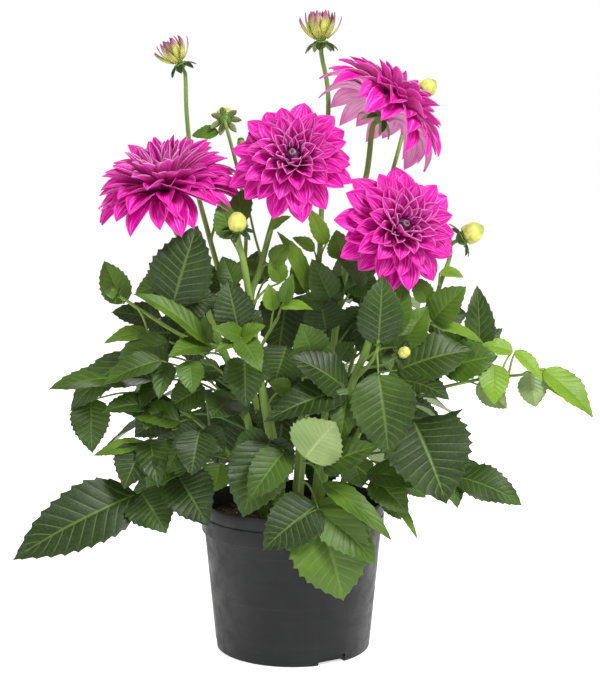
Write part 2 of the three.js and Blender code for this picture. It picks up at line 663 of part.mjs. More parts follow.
// Buds: the same, with a kind. The yellow ones are pieces of their own, and the green ones are
// one with their stem.
const buds = {
  high_left: { at: [-117, 38, 605], axis: [-0.45, -0.15, 0.88], kind: 'opening', size: 1 },
  high_middle: { at: [29, 46, 628], axis: [-0.04, 0, 1], kind: 'opening', size: 1.15 },
  turned_bud: { at: [-69, 12, 547], axis: [-0.1, 0.88, 0.45], kind: 'tight', size: 1 },
  front_bud: { at: [-53, -84, 441], axis: [0, -0.5, 0.86], kind: 'tight', size: 1 },
  far_bud: { at: [137, 97, 576], axis: [0.75, 0.25, 0.6], kind: 'tight', size: 1.12 },
  far_right: { at: [176, 9, 427], axis: [0.85, -0.15, 0.5], kind: 'tight', size: 1.2 },
  round_bud: { at: [105, -98, 320], axis: [0.6, -0.6, 0.5], kind: 'tight', size: 0.6 },
  side_left: { at: [-178, -30, 372], axis: [-0.8, -0.35, 0.5], kind: 'green', size: 0.62 },
  side_bud: { at: [-70, 31, 479], axis: [0.3, -0.3, 0.9], kind: 'green', size: 0.62 },
  thin_bud: { at: [-53, 28, 520], axis: [-0.1, 0.1, 1], kind: 'green', size: 0.45 },
  young_bud: { at: [83, -96, 331], axis: [0, -0.2, 1], kind: 'green', size: 0.35 },
};

// Rotation that stands a head's own +Z along its axis, after a turn about it.
function headTurn(head) {
  const stand = new THREE.Quaternion().setFromUnitVectors(UP, vec(...head.axis).normalize());
  return stand.multiply(new THREE.Quaternion().setFromAxisAngle(UP, radians(head.turn ?? 0)));
}

// A blade in a head's own frame, given by its angle and its start and end as [radius, height].
function headBlade(angle, start, end, width, arch, fold, outline, thickness, outward) {
  const spot = ([radius, height]) => vec(radius * Math.cos(angle), radius * Math.sin(angle), height);
  const rise = Math.atan2(end[1] - start[1], end[0] - start[0]);
  const slope = vec(-Math.sin(rise) * Math.cos(angle), -Math.sin(rise) * Math.sin(angle), Math.cos(rise));
  return blade({
    base: spot(start),
    tip: spot(end),
    normal: slope.multiplyScalar(outward ? -1 : 1),
    arch,
    fold,
    side: outline.map(([t, share]) => [t, (share * width) / 2]),
    rib: [0.5],
    thickness,
  });
}

const PETAL_OUTLINE = [[0.3, 0.6], [0.66, 1], [0.87, 0.7]];
const BUD_PETAL_OUTLINE = [[0.5, 1]];

// The green head of a stem: a cup whose rim runs out into bracts, folded back by their drop.
function headCup(head, size, bracts, reach, drop) {
  const turn = headTurn(head);
  const points = [];
  const faces = [];
  const put = (radius, angle, height) => {
    const p = vec(radius * Math.cos(angle), radius * Math.sin(angle), height)
      .multiplyScalar(size).applyQuaternion(turn).add(vec(...head.at));
    points.push(p.x, p.y, p.z);
    return points.length / 3 - 1;
  };
  const top = put(0, 0, 0);
  const bottom = put(0, 0, -8);
  const collar = [];
  for (let i = 0; i < bracts; i += 1) collar.push(put(4.6, ((i + 0.5) / bracts) * 2 * Math.PI, -7));
  const rim = [];
  for (let i = 0; i < bracts; i += 1) {
    const step = (2 * Math.PI) / bracts;
    const angle = (i + 0.25 * scatter(i, bracts)) * step;
    const shoulder = mix(8, reach, 0.45);
    const bow = 3.6 / shoulder;
    rim.push(put(8, angle - 0.4 * step, -1.5));
    rim.push(put(shoulder, angle - bow, -0.35 * drop));
    rim.push(put(reach, angle, -drop));
    rim.push(put(shoulder, angle + bow, -0.35 * drop));
  }
  // Each bract's four corners join the collar's corner beside it; the next collar corner takes
  // over at the hollow between two bracts.
  rim.forEach((corner, i) => {
    const next = rim[(i + 1) % rim.length];
    const own = collar[Math.floor(i / 4)];
    faces.push(top, corner, next, own, next, corner);
  });
  collar.forEach((corner, i) => {
    const next = collar[(i + 1) % bracts];
    faces.push(corner, next, rim[(4 * (i + 1)) % rim.length], bottom, next, corner);
  });
  return solidFromArrays(points, faces);
}

// All the petals of one bloom on their core, in the bloom's own frame.
function bloomPetals(bloom, seed) {
  const { size, lift, hang, crown } = bloom;
  const core = [[0, GAP], [15, GAP], [17, 6], [11, CORE_HEIGHT], [0, CORE_HEIGHT]];
  const pieces = [solidFromGeometry(lathe(core, 7))];
  for (let i = 0; i < PETALS_PER_BLOOM; i += 1) {
    const k = i / (PETALS_PER_BLOOM - 1);
    const jitter = scatter(i, seed) - 0.5;
    const length = mix(52, crown, k ** 1.25) * size * (1 + 0.1 * jitter);
    const width = mix(31, 10, k ** 1.1) * size;
    const rise = radians(mix(2 + lift, 74, k ** 1.35) + 6 * jitter);
    const curl = radians(mix(-26 - hang, 8, k ** 0.9));
    const mean = rise + curl / 2;
    const start = [mix(9, 8, k), mix(3, 11.5, k)];
    const end = [start[0] + length * Math.cos(mean), start[1] + length * Math.sin(mean)];
    pieces.push(headBlade(i * GOLDEN_ANGLE, start, end, width, -0.5 * Math.tan(curl / 2),
      mix(0.16, 0.4, k), PETAL_OUTLINE, PETAL_THICKNESS, false));
  }
  return fuse(pieces);
}

// A closed body of rings round +Z with raised ridges that wind as they rise.
// rings: [radius, height] from the foot up, the first flat, the last one a point on the axis.
function ridgedBody(rings, ridges, depth, wind) {
  const points = [0, 0, rings[0][1]];
  const faces = [];
  const count = 2 * ridges;
  const inner = rings.slice(0, -1);
  inner.forEach(([radius, height], level) => {
    for (let i = 0; i < count; i += 1) {
      const angle = (i / count) * 2 * Math.PI + wind * level;
      const out = radius * (i % 2 ? 1 : 1 - depth);
      points.push(out * Math.cos(angle), out * Math.sin(angle), height + (level && i % 2 ? depth * 4 : 0));
    }
  });
  points.push(0, 0, rings[rings.length - 1][1]);
  const id = (level, i) => 1 + level * count + (i % count);
  const peak = points.length / 3 - 1;
  for (let i = 0; i < count; i += 1) {
    faces.push(0, id(0, i + 1), id(0, i));
    for (let level = 1; level < inner.length; level += 1) {
      faces.push(id(level - 1, i), id(level - 1, i + 1), id(level, i));
      faces.push(id(level - 1, i + 1), id(level, i + 1), id(level, i));
    }
    faces.push(id(inner.length - 1, i), id(inner.length - 1, i + 1), peak);
  }
  return solidFromArrays(points, faces);
}

// The closed dark florets in the middle of a bloom, standing on the petals' core.
function bloomHeart() {
  const foot = CORE_HEIGHT + GAP;
  const rings = [[7.6, foot], [8.2, foot + 6], [6.4, foot + 12], [3, foot + 16], [0, foot + 14]];
  return ridgedBody(rings, 7, 0.28, 0.25);
}

// A bud in its own frame: a ridged egg, with petals standing up round it once it opens.
function budSolid(kind, size) {
  const foot = kind === 'green' ? -1 : GAP;
  const open = kind === 'opening';
  const high = (open ? 17 : 19) * size;
  const wide = (open ? 8.5 : 10) * size;
  const ridges = kind === 'green' ? 3 : 6;
  const rings = [[wide * 0.62, foot], [wide, high * 0.36], [wide * 0.76, high * 0.78], [0, high]];
  const pieces = [ridgedBody(rings, open ? 3 : ridges, open ? 0 : 0.12, open ? 0 : 0.16)];
  const count = open ? 8 : 0;
  for (let i = 0; i < count; i += 1) {
    const outer = i % 2;
    const start = [wide * 0.55, foot + 1.2];
    const end = outer ? [21 * size, 20 * size] : [9 * size, 27 * size];
    pieces.push(headBlade((i / count) * 2 * Math.PI, start, end, 7.5 * size, 0.26, -0.3,
      BUD_PETAL_OUTLINE, 1.5, true));
  }
  return fuse(pieces);
}

// Points of a stem with the neck that turns it in line with its head.
function neckedPath(points, head) {
  const path = points.map((p) => vec(...p));
  if (!head) return path;
  const axis = vec(...head.axis).normalize();
  const at = vec(...head.at);
  const neck = head.neck ?? (head.kind ? 13 : 25);
  path.push(at.clone().addScaledVector(axis, -neck * head.size));
  path.push(at.clone().addScaledVector(axis, head.kind ? -4.5 * head.size : -5));
  return path;
}

const smooth = (points) => new THREE.CatmullRomCurve3(points, false, 'catmullrom', 0.5);

// A point on a rising path, by its height or by its share of the way.
function placeOn(curve, place) {
  if (place <= 1) return curve.getPoint(place);
  let low = 0;
  let high = 1;
  for (let i = 0; i < 30; i += 1) {
    const middle = (low + high) / 2;
    if (curve.getPoint(middle).z < place) low = middle;
    else high = middle;
  }
  return curve.getPoint(low);
}

function headOf(name) {
  return name ? blooms[name] ?? buds[name] : null;
}

function headPieces(name) {
  if (!name) return [];
  if (blooms[name]) return [headCup(blooms[name], 1, 6, 21, 15)];
  const bud = buds[name];
  const [reach, drop] = { opening: [18, 12], tight: [20, 7], green: [20, 4] }[bud.kind];
  const cup = headCup(bud, 0.85 * bud.size, bud.kind === 'green' ? 5 : 7, reach, drop);
  return bud.kind === 'green' ? [cup, greenBud(bud)] : [cup];
}

// A green bud moved to its place on the stem.
function greenBud(bud) {
  const data = budSolid(bud.kind, bud.size).getMesh();
  const turn = headTurn(bud);
  const points = [];
  for (let i = 0; i < data.vertProperties.length; i += 3) {
    const p = vec(...data.vertProperties.slice(i, i + 3)).applyQuaternion(turn).add(vec(...bud.at));
    points.push(p.x, p.y, p.z);
  }
  return solidFromArrays(points, data.triVerts);
}

// The main stem's points, with its foot carried on straight down into the soil.
function mainPoints(stem) {
  const [start, next] = stem.path.map((p) => vec(...p));
  const down = start.clone().sub(next);
  const foot = start.addScaledVector(down, (PEG_DEPTH + 1) / -down.z);
  return neckedPath([foot.toArray(), ...stem.path], headOf(stem.heads[0]));
}

function stemSolid(stem) {
  const mainPath = mainPoints(stem);
  const main = smooth(mainPath);
  const pieces = [taperedTube(mainPath, stem.radii[0], stem.radii[1], 5, mainPath.length + 1)];
  const curves = [main];
  stem.branches.forEach(([place, points, radius], i) => {
    const start = placeOn(main, place);
    const path = neckedPath([start.toArray(), ...points], headOf(stem.heads[i + 1]));
    curves.push(smooth(path));
    pieces.push(taperedTube(path, radius * 1.15, radius * 0.9, 4, path.length));
  });
  stem.heads.forEach((name) => pieces.push(...headPieces(name)));
  let joint = null;
  let inward = null;
  for (const [number, place, at, tip, width, pair, turn] of stem.leaves) {
    if (at) {
      const from = placeOn(curves[number], place);
      joint = vec(...at);
      inward = stalkBend(from, joint).sub(joint).normalize();
      pieces.push(leaf(from, joint, vec(...tip), width, pair, turn));
    } else {
      joint = joint.clone().addScaledVector(inward, LEAFLET_STEP);
      pieces.push(leaf(null, joint, vec(...tip), width, pair, turn));
    }
  }
  for (const [place, azimuth, reach, rise, length, drop, width, pair] of stem.around ?? []) {
    const from = placeOn(main, place);
    const out = vec(Math.cos(radians(azimuth)), Math.sin(radians(azimuth)), 0);
    const at = from.clone().addScaledVector(out, reach).addScaledVector(UP, rise);
    const tip = at.clone().addScaledVector(out, length).addScaledVector(UP, drop);
    pieces.push(leaf(from, at, tip, width, pair, [azimuth, 55]));
  }
  return fuse(pieces);
}

// The pot: a turned shell with drain holes in a raised channel and three notches in its foot.
function potSolid() {
  const wall = POT_WALL;
  const profile = [
    [0, 0], [26, 0], [29, 3], [66, 3], [69, 0], [POT_FOOT_RADIUS - 1.5, 0], [POT_FOOT_RADIUS, 1.5],
    [POT_RIM_RADIUS - 3, POT_COLLAR_LINE], [POT_RIM_RADIUS, POT_COLLAR_LINE + 1.5],
    [POT_RIM_RADIUS, POT_LIP_LINE], [POT_RIM_RADIUS - 1, POT_LIP_LINE + 0.8],
    [POT_RIM_RADIUS - 0.6, POT_HEIGHT], [POT_RIM_RADIUS - 3, POT_HEIGHT],
    [POT_RIM_RADIUS - 3 - wall - 0.4, POT_COLLAR_LINE - 1],
    [POT_FOOT_RADIUS - wall - 0.4, 13], [POT_FOOT_RADIUS - 5, 11], [POT_FOOT_RADIUS - 5, 5.5], [0, 5.5],
  ];
  let pot = solidFromGeometry(lathe(profile, POT_FACETS));
  for (const angle of NOTCH_ANGLES) {
    const spin = new THREE.Matrix4().makeRotationZ(radians(angle));
    const window = new THREE.BoxGeometry(20, NOTCH_WIDTH, 2 * NOTCH_HEIGHT);
    window.translate(POT_FOOT_RADIUS - 2.8 + 10, 0, 0).applyMatrix4(spin);
    const slot = new THREE.BoxGeometry(30, NOTCH_WIDTH, 6);
    slot.translate(64 + 15, 0, 0).applyMatrix4(spin);
    pot = pot.subtract(solidFromGeometry(window)).subtract(solidFromGeometry(slot));
  }
  for (let i = 0; i < 6; i += 1) {
    const angle = radians(60 * i);
    const hole = standingCylinder(DRAIN_RADIUS, 6, 8, 48 * Math.cos(angle), 48 * Math.sin(angle), 1);
    pot = pot.subtract(solidFromGeometry(hole));
  }
  return pot;
}

// The soil fills the pot to below its lip, with a plain hole for each stem.
function soilSolid() {
  const foot = 5.5 + GAP;
  const side = GAP / Math.cos(Math.PI / POT_FACETS);
  const profile = [
    [0, foot], [POT_FOOT_RADIUS - 5 - side, foot], [POT_FOOT_RADIUS - 5 - side, 11.2],
    [POT_FOOT_RADIUS - POT_WALL - 0.4 - side, 13.2],
    [POT_RIM_RADIUS - 3 - POT_WALL - 0.4 - side, POT_COLLAR_LINE - 1],
    [POT_RIM_RADIUS - 4.3 - side, SOIL_TOP], [0, SOIL_TOP],
  ];
  let soil = solidFromGeometry(lathe(profile, POT_FACETS));
  for (const stem of Object.values(stems)) {
    const points = mainPoints(stem);
    const [foot, next] = smooth(points).getSpacedPoints(points.length + 1);
    const lean = next.clone().sub(foot).normalize();
    const length = PEG_DEPTH + 8;
    const hole = new THREE.CylinderGeometry(1, 1, length, 6);
    hole.scale(stem.radii[0] + HOLE_CLEARANCE, 1, stem.radii[0] + HOLE_CLEARANCE);
    hole.translate(0, length / 2 - GAP, 0);
    hole.applyQuaternion(new THREE.Quaternion().setFromUnitVectors(vec(0, 1, 0), lean));
    hole.translate(...foot.toArray());
    soil = soil.subtract(solidFromGeometry(hole));
  }
  return soil;
}

// Assembly

const plant = new THREE.Group();

plant.add(meshFromSolid('pot', potSolid(), potPlastic));
plant.add(meshFromSolid('soil', soilSolid(), soilEarth));

for (const [name, stem] of Object.entries(stems)) {
  plant.add(meshFromSolid(name, stemSolid(stem), leafGreen));
}

Object.entries(blooms).forEach(([name, bloom], seed) => {
  const flower = new THREE.Group();
  flower.position.set(...bloom.at);
  flower.quaternion.copy(headTurn(bloom));
  flower.add(meshFromSolid(`petals_${name}`, bloomPetals(bloom, seed + 1), petalMagenta));
  flower.add(meshFromSolid(`heart_${name}`, bloomHeart(), heartPurple));
  plant.add(flower);
});

for (const [name, bud] of Object.entries(buds)) {
  if (bud.kind === 'green') continue;
  const mesh = meshFromSolid(`bud_${name.replace('_bud', '')}`, budSolid(bud.kind, bud.size), budYellow);
  mesh.position.set(...bud.at);
  mesh.quaternion.copy(headTurn(bud));
  plant.add(mesh);
}

export default plant;
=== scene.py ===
# Looks of the potted dahlia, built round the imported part.
# Millimetres in the tables and the working, metres in the meshes. +Z is up, and the side of the
# plant that the photograph shows is -Y.

import math

import bpy
import numpy as np
from mathutils import Matrix, Vector


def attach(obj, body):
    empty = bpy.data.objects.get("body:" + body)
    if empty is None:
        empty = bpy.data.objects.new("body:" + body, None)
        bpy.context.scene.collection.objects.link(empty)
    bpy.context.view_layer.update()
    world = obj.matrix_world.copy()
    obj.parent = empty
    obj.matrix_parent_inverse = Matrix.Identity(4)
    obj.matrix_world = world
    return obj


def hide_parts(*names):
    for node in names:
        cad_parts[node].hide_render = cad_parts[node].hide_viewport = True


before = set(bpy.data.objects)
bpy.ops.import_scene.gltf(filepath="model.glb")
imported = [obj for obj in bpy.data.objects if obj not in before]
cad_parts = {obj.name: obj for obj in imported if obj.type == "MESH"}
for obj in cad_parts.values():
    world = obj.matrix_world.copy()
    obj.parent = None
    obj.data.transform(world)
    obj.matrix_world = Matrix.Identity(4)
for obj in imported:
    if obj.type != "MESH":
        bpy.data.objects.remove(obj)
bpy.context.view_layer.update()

# Driving dimensions, the same as the part's

MM = 0.001
GAP = 0.3
POT_HEIGHT = 155
POT_RIM_RADIUS = 95
POT_FOOT_RADIUS = 80.5
POT_WALL = 2.2
POT_LIP_LINE = 141
POT_COLLAR_LINE = 123.5
COLLAR_STEP = 3
FOOT_RING_WIDTH = 5
BASE_TOP = 5.5
CHANNEL_RADII = (29, 66)
CHANNEL_HEIGHT = 3
NOTCH_WIDTH = 31
NOTCH_HEIGHT = 8.5
NOTCH_ANGLES = [-60, 60, 180]
DRAIN_HOLES = 6
DRAIN_CIRCLE_RADIUS = 48
DRAIN_RADIUS = 4.5
SOIL_TOP = 140
PEG_DEPTH = 12
PETIOLE_RADIUS = 1.6
LEAFLET_STEP = 4.5
LEAF_FULLNESS = 1.12
GOLDEN_ANGLE = math.radians(137.508)
CORE_HEIGHT = 14

# Finer than the part

LEAF_THICKNESS = 0.5
PETAL_THICKNESS = 0.45
PETALS_ON_A_FLAT_BLOOM = 68
PETALS_ON_A_DOME = 108
FLORETS_PER_HEART = 46
POT_FACETS = 144
SOIL_CHIPS = 420

# Camera, fitted to the photograph's pot
IMAGE_HEIGHT_PX = 683
FOCAL_PX = 1566
SENSOR_MM = 36
CAMERA_PLACE = (7.4, -1600, 524.5)
CAMERA_PITCH = 0.127

ROOM_LIGHT = 0.42
FLOOR_GLOW = 0.66

# Leaves that the light shines through, painted brighter in their colour as painted backlight: stem, path
# number, width, and how much brighter.
BACKLIT_LEAVES = [
    ("stem_front_low", 0, 70, 0.5),
    ("stem_front_low", 0, 44, 0.35),
    ("stem_right_far", 1, None, 0.48),
    ("stem_right_high", 0, 40, 0.35),
]

UP = np.array([0.0, 0.0, 1.0])

# Layout, the same as the part's.
# Stems: path is the main stem, radii are at its foot and top, branches are [height, points,
# radius], and leaves are [path number, place on it, joint, tip, width, side leaflets, facing],
# where a leaflet with no joint of its own sits on the stalk of the leaf before it.
# around: [height, azimuth, reach, rise, length, drop, width, side leaflets].

STEMS = {
    "stem_left_bloom": {
        "path": [[-30, -14, 141], [-42, -24, 225], [-64, -32, 300], [-84, -36, 352], [-101, -32, 405]],
        "radii": [4.6, 2.9],
        "branches": [[318, [[-110, -34, 330], [-150, -30, 354]], 1.9]],
        "leaves": [
            [0, 310, [-117, -74, 366], [-93, -66, 444], 56, 0.5, [-90, 20]],
            [0, 285, [-84, -84, 329], [-153, -95, 384], 24, 0, [-70, 60]],
            [0, -1, None, [-108, -66, 362], 22, 0, [-90, 30]],
            [0, -1, None, [-118, -116, 322], 25, 0, [-90, 55]],
            [0, 318, [-120, -38, 384], [-157, -42, 374], 28, 0, [-90, 30]],
            [1, 0.85, [-172, -14, 361], [-193, -8, 405], 28, 0, [-90, 10]],
            [1, 0.4, [-134, -6, 340], [-186, -6, 352], 30, 0, [-90, 50]],
            [1, 0.55, [-145, -38, 333], [-190, -42, 326], 20, 0, [-90, 50]],
            [0, 255, [-140, -50, 288], [-241, -72, 282], 44, 0.5, [-90, 66]],
            [0, 270, [-160, -50, 314], [-224, -62, 258], 30, 0, [-90, 40]],
            [0, 276, [-124, -46, 326], [-182, -56, 296], 32, 0, [-90, 40]],
            [0, 275, [-72, -46, 296], [-108, -52, 294], 24, 0, [-90, 40]],
            [0, 240, [-128, -84, 312], [-184, -100, 292], 28, 0.75, [-90, 50]],
            [0, 272, [-100, -95, 313], [-96, -112, 284], 24, 0, [-90, 40]],
            [0, 250, [-62, -68, 270], [-78, -108, 262], 38, 1.65, [-90, 40]],
        ],
        "heads": ["left", "side_left"],
    },
    "stem_left_low": {
        "path": [[-46, 2, 141], [-58, -10, 190], [-80, -28, 225], [-104, -48, 252], [-132, -56, 268]],
        "radii": [3.8, 2],
        "branches": [],
        "leaves": [
            [0, 178, [-156, -62, 174], [-275, -112, 121], 58, 0, [-90, 30]],
            [0, -1, None, [-124, -97, 143], 46, 0, [-90, 30]],
            [0, 205, [-114, -66, 192], [-82, -110, 153], 46, 0, [-90, 35]],
            [0, 264, [-202, -52, 268], [-198, -79, 219], 36, 0, [-90, 20]],
            [0, 232, [-150, -66, 227], [-197, -76, 216], 14, 0, [-90, 30]],
            [0, -1, None, [-166, -92, 186], 42, 0, [-90, 35]],
            [0, -1, None, [-131, -102, 190], 29, 0, [-90, 35]],
            [0, 238, [-111, -76, 250], [-166, -84, 262], 30, 0, [-90, 50]],
            [0, 250, [-141, -72, 266], [-186, -92, 264], 26, 0.8, [-90, 55]],
            [0, 240, [-116, -56, 264], [-158, -62, 232], 42, 0, [-90, 35]],
            [0, 230, [-88, -60, 282], [-122, -66, 262], 34, 0, [-90, 35]],
            [0, 215, [-91, -90, 243], [-98, -114, 204], 37, 0.75, [-90, 35]],
            [0, 215, [-112, -36, 224], [-128, -42, 190], 30, 0, [-90, 20]],
            [0, 200, [-124, -32, 198], [-150, -38, 174], 26, 0, [-90, 30]],
            [0, 172, [-74, -38, 200], [-80, -46, 172], 30, 0, [-90, 20]],
        ],
        "heads": [],
    },
    "stem_left_back": {
        "path": [[-24, 20, 141], [-34, 24, 230], [-56, 18, 320], [-75, 10, 388], [-88, 30, 430],
            [-104, 48, 490], [-110, 42, 550]],
        "radii": [4, 2.2],
        "branches": [[405, [[-84, 18, 425], [-73, 30, 460]], 1.5]],
        "leaves": [
            [0, 310, [-98, 34, 356], [-106, 30, 290], 50, 0.7, [-90, 15]],
            [0, 205, [-70, 44, 246], [-80, 40, 178], 50, 0.7, [-90, 20]],
        ],
        "around": [
            [250, 150, 85, 30, 78, -30, 44, 1.65],
            [345, 140, 60, 20, 60, -16, 38, 1.65],
            [290, 180, 64, 14, 56, -22, 36, 0],
            [215, 175, 110, 20, 66, -40, 38, 0],
        ],
        "heads": ["high_left", "side_bud"],
    },
    "stem_centre_bloom": {
        "path": [[-10, 4, 141], [-20, -4, 220], [-36, -18, 300], [-42, -27, 366], [-33, -27, 396],
            [-18, -28, 450]],
        "radii": [4.6, 2.9],
        "branches": [
            [340, [[-48, -12, 390], [-48, 0, 440], [-55, 7, 490]], 2],
            [405, [[-40, -4, 435], [-52, 26, 490]], 1.2],
            [290, [[-32, -36, 318], [-14, -54, 352]], 1.9],
        ],
        "leaves": [
            [1, 0.9, [-76, 14, 533], [-104, 16, 531], 16, 0, [-90, 40]],
            [0, 396, [-20, -40, 404], [-4, -38, 424], 18, 0, [-90, 20]],
            [0, 255, [-2, -56, 278], [-24, -60, 287], 18, 0, [-90, 30]],
            [0, 420, [-21, -36, 438], [-2, -42, 452], 12, 0, [-90, 50]],
            [0, 360, [-12, -34, 384], [-20, -38, 416], 18, 0, [-90, 20]],
            [0, 350, [-26, -8, 388], [-64, -14, 402], 22, 0, [-90, 50]],
            [0, 270, [-6, -36, 320], [-20, -46, 278], 44, 0, [-90, 20]],
            [3, 0.8, [-19, -52, 358], [-24, -52, 385], 16, 0, [-90, 20]],
            [3, 0.99, [-9, -60, 366], [0, -64, 396], 14, 0, [-90, 20]],
            [3, -1, None, [20, -74, 362], 15, 0, [-90, 50]],
        ],
        "heads": ["centre", "turned_bud", "thin_bud", None],
    },
    "stem_front_bud": {
        "path": [[-14, -34, 141], [-22, -46, 220], [-32, -62, 290], [-39, -70, 346], [-46, -78, 400]],
        "radii": [4.6, 3.4],
        "branches": [],
        "leaves": [
            [0, 405, [-60, -56, 440], [-43, -28, 480], 22, 0, [-90, 20]],
            [0, 395, [-60, -68, 430], [-71, -70, 468], 24, 0, [-90, 30]],
            [0, 350, [-58, -46, 382], [-70, -38, 412], 24, 0, [-90, 20]],
            [0, 312, [-52, -97, 344], [-63, -92, 393], 36, 0.6, [-90, 15]],
            [0, 322, [-50, -106, 337], [-29, -130, 308], 24, 0, [-90, 40]],
            [0, -1, None, [-26, -118, 351], 17, 0, [-90, 30]],
            [0, -1, None, [-76, -118, 349], 18, 0, [-90, 30]],
            [0, -1, None, [-75, -124, 325], 15, 0, [-90, 40]],
            [0, 290, [-46, -95, 312], [-45, -113, 271], 32, 0.7, [-90, 25]],
            [0, 215, [-22, -104, 235], [-48, -128, 166], 54, 0.55, [-90, 30]],
            [0, 208, [-8, -116, 228], [-42, -146, 186], 34, 0, [-90, 30]],
        ],
        "heads": ["front_bud"],
    },
    "stem_front_low": {
        "path": [[6, -46, 141], [10, -54, 200], [14, -60, 250], [18, -66, 290]],
        "radii": [3.8, 2],
        "branches": [],
        "leaves": [
            [0, 185, [25, -114, 172], [51, -124, 80], 70, 0, [-90, 20]],
            [0, -1, None, [-29, -140, 138], 48, 0, [-90, 30]],
            [0, -1, None, [82, -134, 122], 44, 0, [-90, 30]],
            [0, 205, [30, -110, 196], [97, -148, 150], 22, 0, [-90, 45]],
            [0, 218, [80, -92, 196], [112, -124, 168], 32, 0, [-90, 35]],
            [0, -1, None, [124, -120, 142], 14, 0, [-60, 40]],
            [0, -1, None, [137, -108, 194], 28, 0, [-90, 45]],
            [0, 228, [30, -118, 212], [82, -142, 241], 32, 0, [-90, 40]],
            [0, 236, [12, -138, 226], [42, -140, 262], 50, 0, [90, 10]],
            [0, 280, [20, -80, 318], [8, -98, 350], 34, 1.7, [-90, 20]],
        ],
        "heads": [],
    },
    "stem_right_front": {
        "path": [[26, -22, 141], [38, -32, 220], [61, -52, 288], [74, -62, 323], [88, -52, 369],
            [91, -38, 403]],
        "radii": [5.2, 3.4],
        "branches": [
            [288, [[72, -80, 304], [80, -94, 318]], 2],
            [300, [[88, -86, 308], [97, -96, 315]], 1.4],
        ],
        "leaves": [
            [1, 0.6, [83, -106, 302], [93, -128, 224], 56, 0, [-90, 28]],
            [1, 0.75, [83, -98, 330], [87, -98, 398], 40, 0, [-90, 12]],
            [0, 275, [104, -68, 300], [180, -68, 323], 50, 0.5, [-90, 40]],
            [0, 262, [108, -78, 292], [152, -112, 280], 32, 0, [-90, 55]],
            [0, 250, [54, -100, 287], [46, -122, 238], 29, 0, [-90, 25]],
            [0, -1, None, [-27, -127, 260], 40, 0, [-90, 45]],
            [0, -1, None, [-2, -108, 322], 42, 0, [-90, 45]],
            [0, 308, [108, -56, 322], [135, -48, 362], 30, 0.7, [-90, 30]],
            [0, 330, [98, -74, 340], [110, -68, 390], 26, 0.6, [-90, 10]],
        ],
        "heads": ["right_low", "young_bud", "round_bud"],
    },
    "stem_right_high": {
        "path": [[22, 14, 141], [32, 12, 230], [44, 6, 330], [60, 0, 430], [75, -3, 492]],
        "radii": [4.6, 2.9],
        "branches": [[380, [[72, 20, 420], [95, 48, 465], [112, 78, 515]], 2.4]],
        "leaves": [
            [0, 350, [76, -14, 388], [43, -30, 414], 40, 0.7, [-90, 40]],
            [0, 385, [50, -10, 406], [44, -12, 436], 24, 0, [-90, 20]],
            [0, 290, [48, -26, 306], [62, -32, 324], 20, 0, [-90, 30]],
            [0, 310, [86, 16, 352], [94, 12, 284], 50, 0.7, [-90, 15]],
            [0, 205, [60, 30, 246], [66, 26, 178], 50, 0.7, [-90, 20]],
        ],
        "around": [
            [300, 50, 60, 30, 66, -14, 40, 1.65],
            [300, 10, 66, 24, 52, -20, 34, 0],
            [225, 5, 80, 30, 60, -34, 42, 1.6],
            [380, 95, 50, -10, 50, -8, 26, 0],
        ],
        "heads": ["right_high", "far_bud"],
    },
    "stem_middle_bud": {
        "path": [[2, 16, 141], [8, 18, 230], [18, 10, 330], [27, 4, 404], [30, 20, 460], [37, 50, 565]],
        "radii": [4, 2.4],
        "branches": [],
        "leaves": [
            [0, 330, [38, -24, 367], [19, -32, 408], 28, 0.7, [-90, 15]],
            [0, 345, [16, -22, 374], [-14, -32, 436], 20, 0, [-50, 20]],
            [0, 395, [22, 0, 414], [0, -4, 428], 13, 0, [-90, 40]],
            [0, 352, [14, -8, 372], [-2, -12, 398], 22, 0, [-90, 20]],
            [0, 318, [34, -14, 334], [26, -20, 374], 38, 0, [-90, 15]],
            [0, 400, [34, 4, 420], [16, 2, 458], 16, 0, [-90, 20]],
            [0, 320, [-6, 16, 366], [-16, 10, 300], 48, 0.6, [-90, 15]],
            [0, 215, [-8, 30, 262], [-16, 24, 192], 50, 0.7, [-90, 15]],
        ],
        "around": [
            [270, 100, 60, 40, 66, -10, 40, 1.65],
            [330, 60, 40, 26, 48, -4, 26, 0],
        ],
        "heads": ["high_middle"],
    },
    "stem_right_far": {
        "path": [[46, 0, 141], [64, -2, 215], [92, -12, 270], [122, -20, 312], [141, -15, 349],
            [151, 0, 379], [161, 8, 405]],
        "radii": [4, 2.3],
        "branches": [[258, [[130, -30, 272], [189, -40, 287], [231, -42, 292], [246, -44, 298]], 1.8]],
        "leaves": [
            [0, 375, [150, -6, 392], [174, -14, 388], 14, 0, [-90, 50]],
            [0, 335, [136, -26, 364], [121, -26, 390], 20, 0, [-90, 30]],
            [0, 322, [140, -42, 346], [172, -54, 382], 32, 0, [-90, 35]],
            [0, -1, None, [191, -64, 326], 18, 0, [-90, 60]],
            [0, 300, [190, -24, 312], [187, -20, 381], 28, 0.6, [-90, 10]],
            [0, 225, [118, -88, 254], [148, -132, 180], 78, 0, [-90, 38]],
            [0, 180, [62, -34, 204], [70, -44, 176], 32, 0, [-90, 20]],
            [0, 192, [110, -30, 188], [136, -36, 164], 24, 0, [-90, 35]],
            [0, 170, [94, -40, 168], [110, -48, 144], 20, 0, [-90, 35]],
            [0, -1, None, [162, -90, 268], 32, 0, [-90, 50]],
            [0, 200, [166, -44, 188], [231, -66, 166], 36, 0.55, [-90, 45]],
            [1, 0.12, [150, -46, 298], [206, -50, 312], 40, 0, [-90, 35]],
            [1, 0.4, [184, -54, 284], [214, -68, 262], 26, 0, [90, 20]],
            [1, 0.5, [200, -52, 304], [200, -70, 266], 28, 0, [-90, 20]],
            [1, 0.75, [238, -54, 296], [241, -68, 262], 26, 0, [90, 20]],
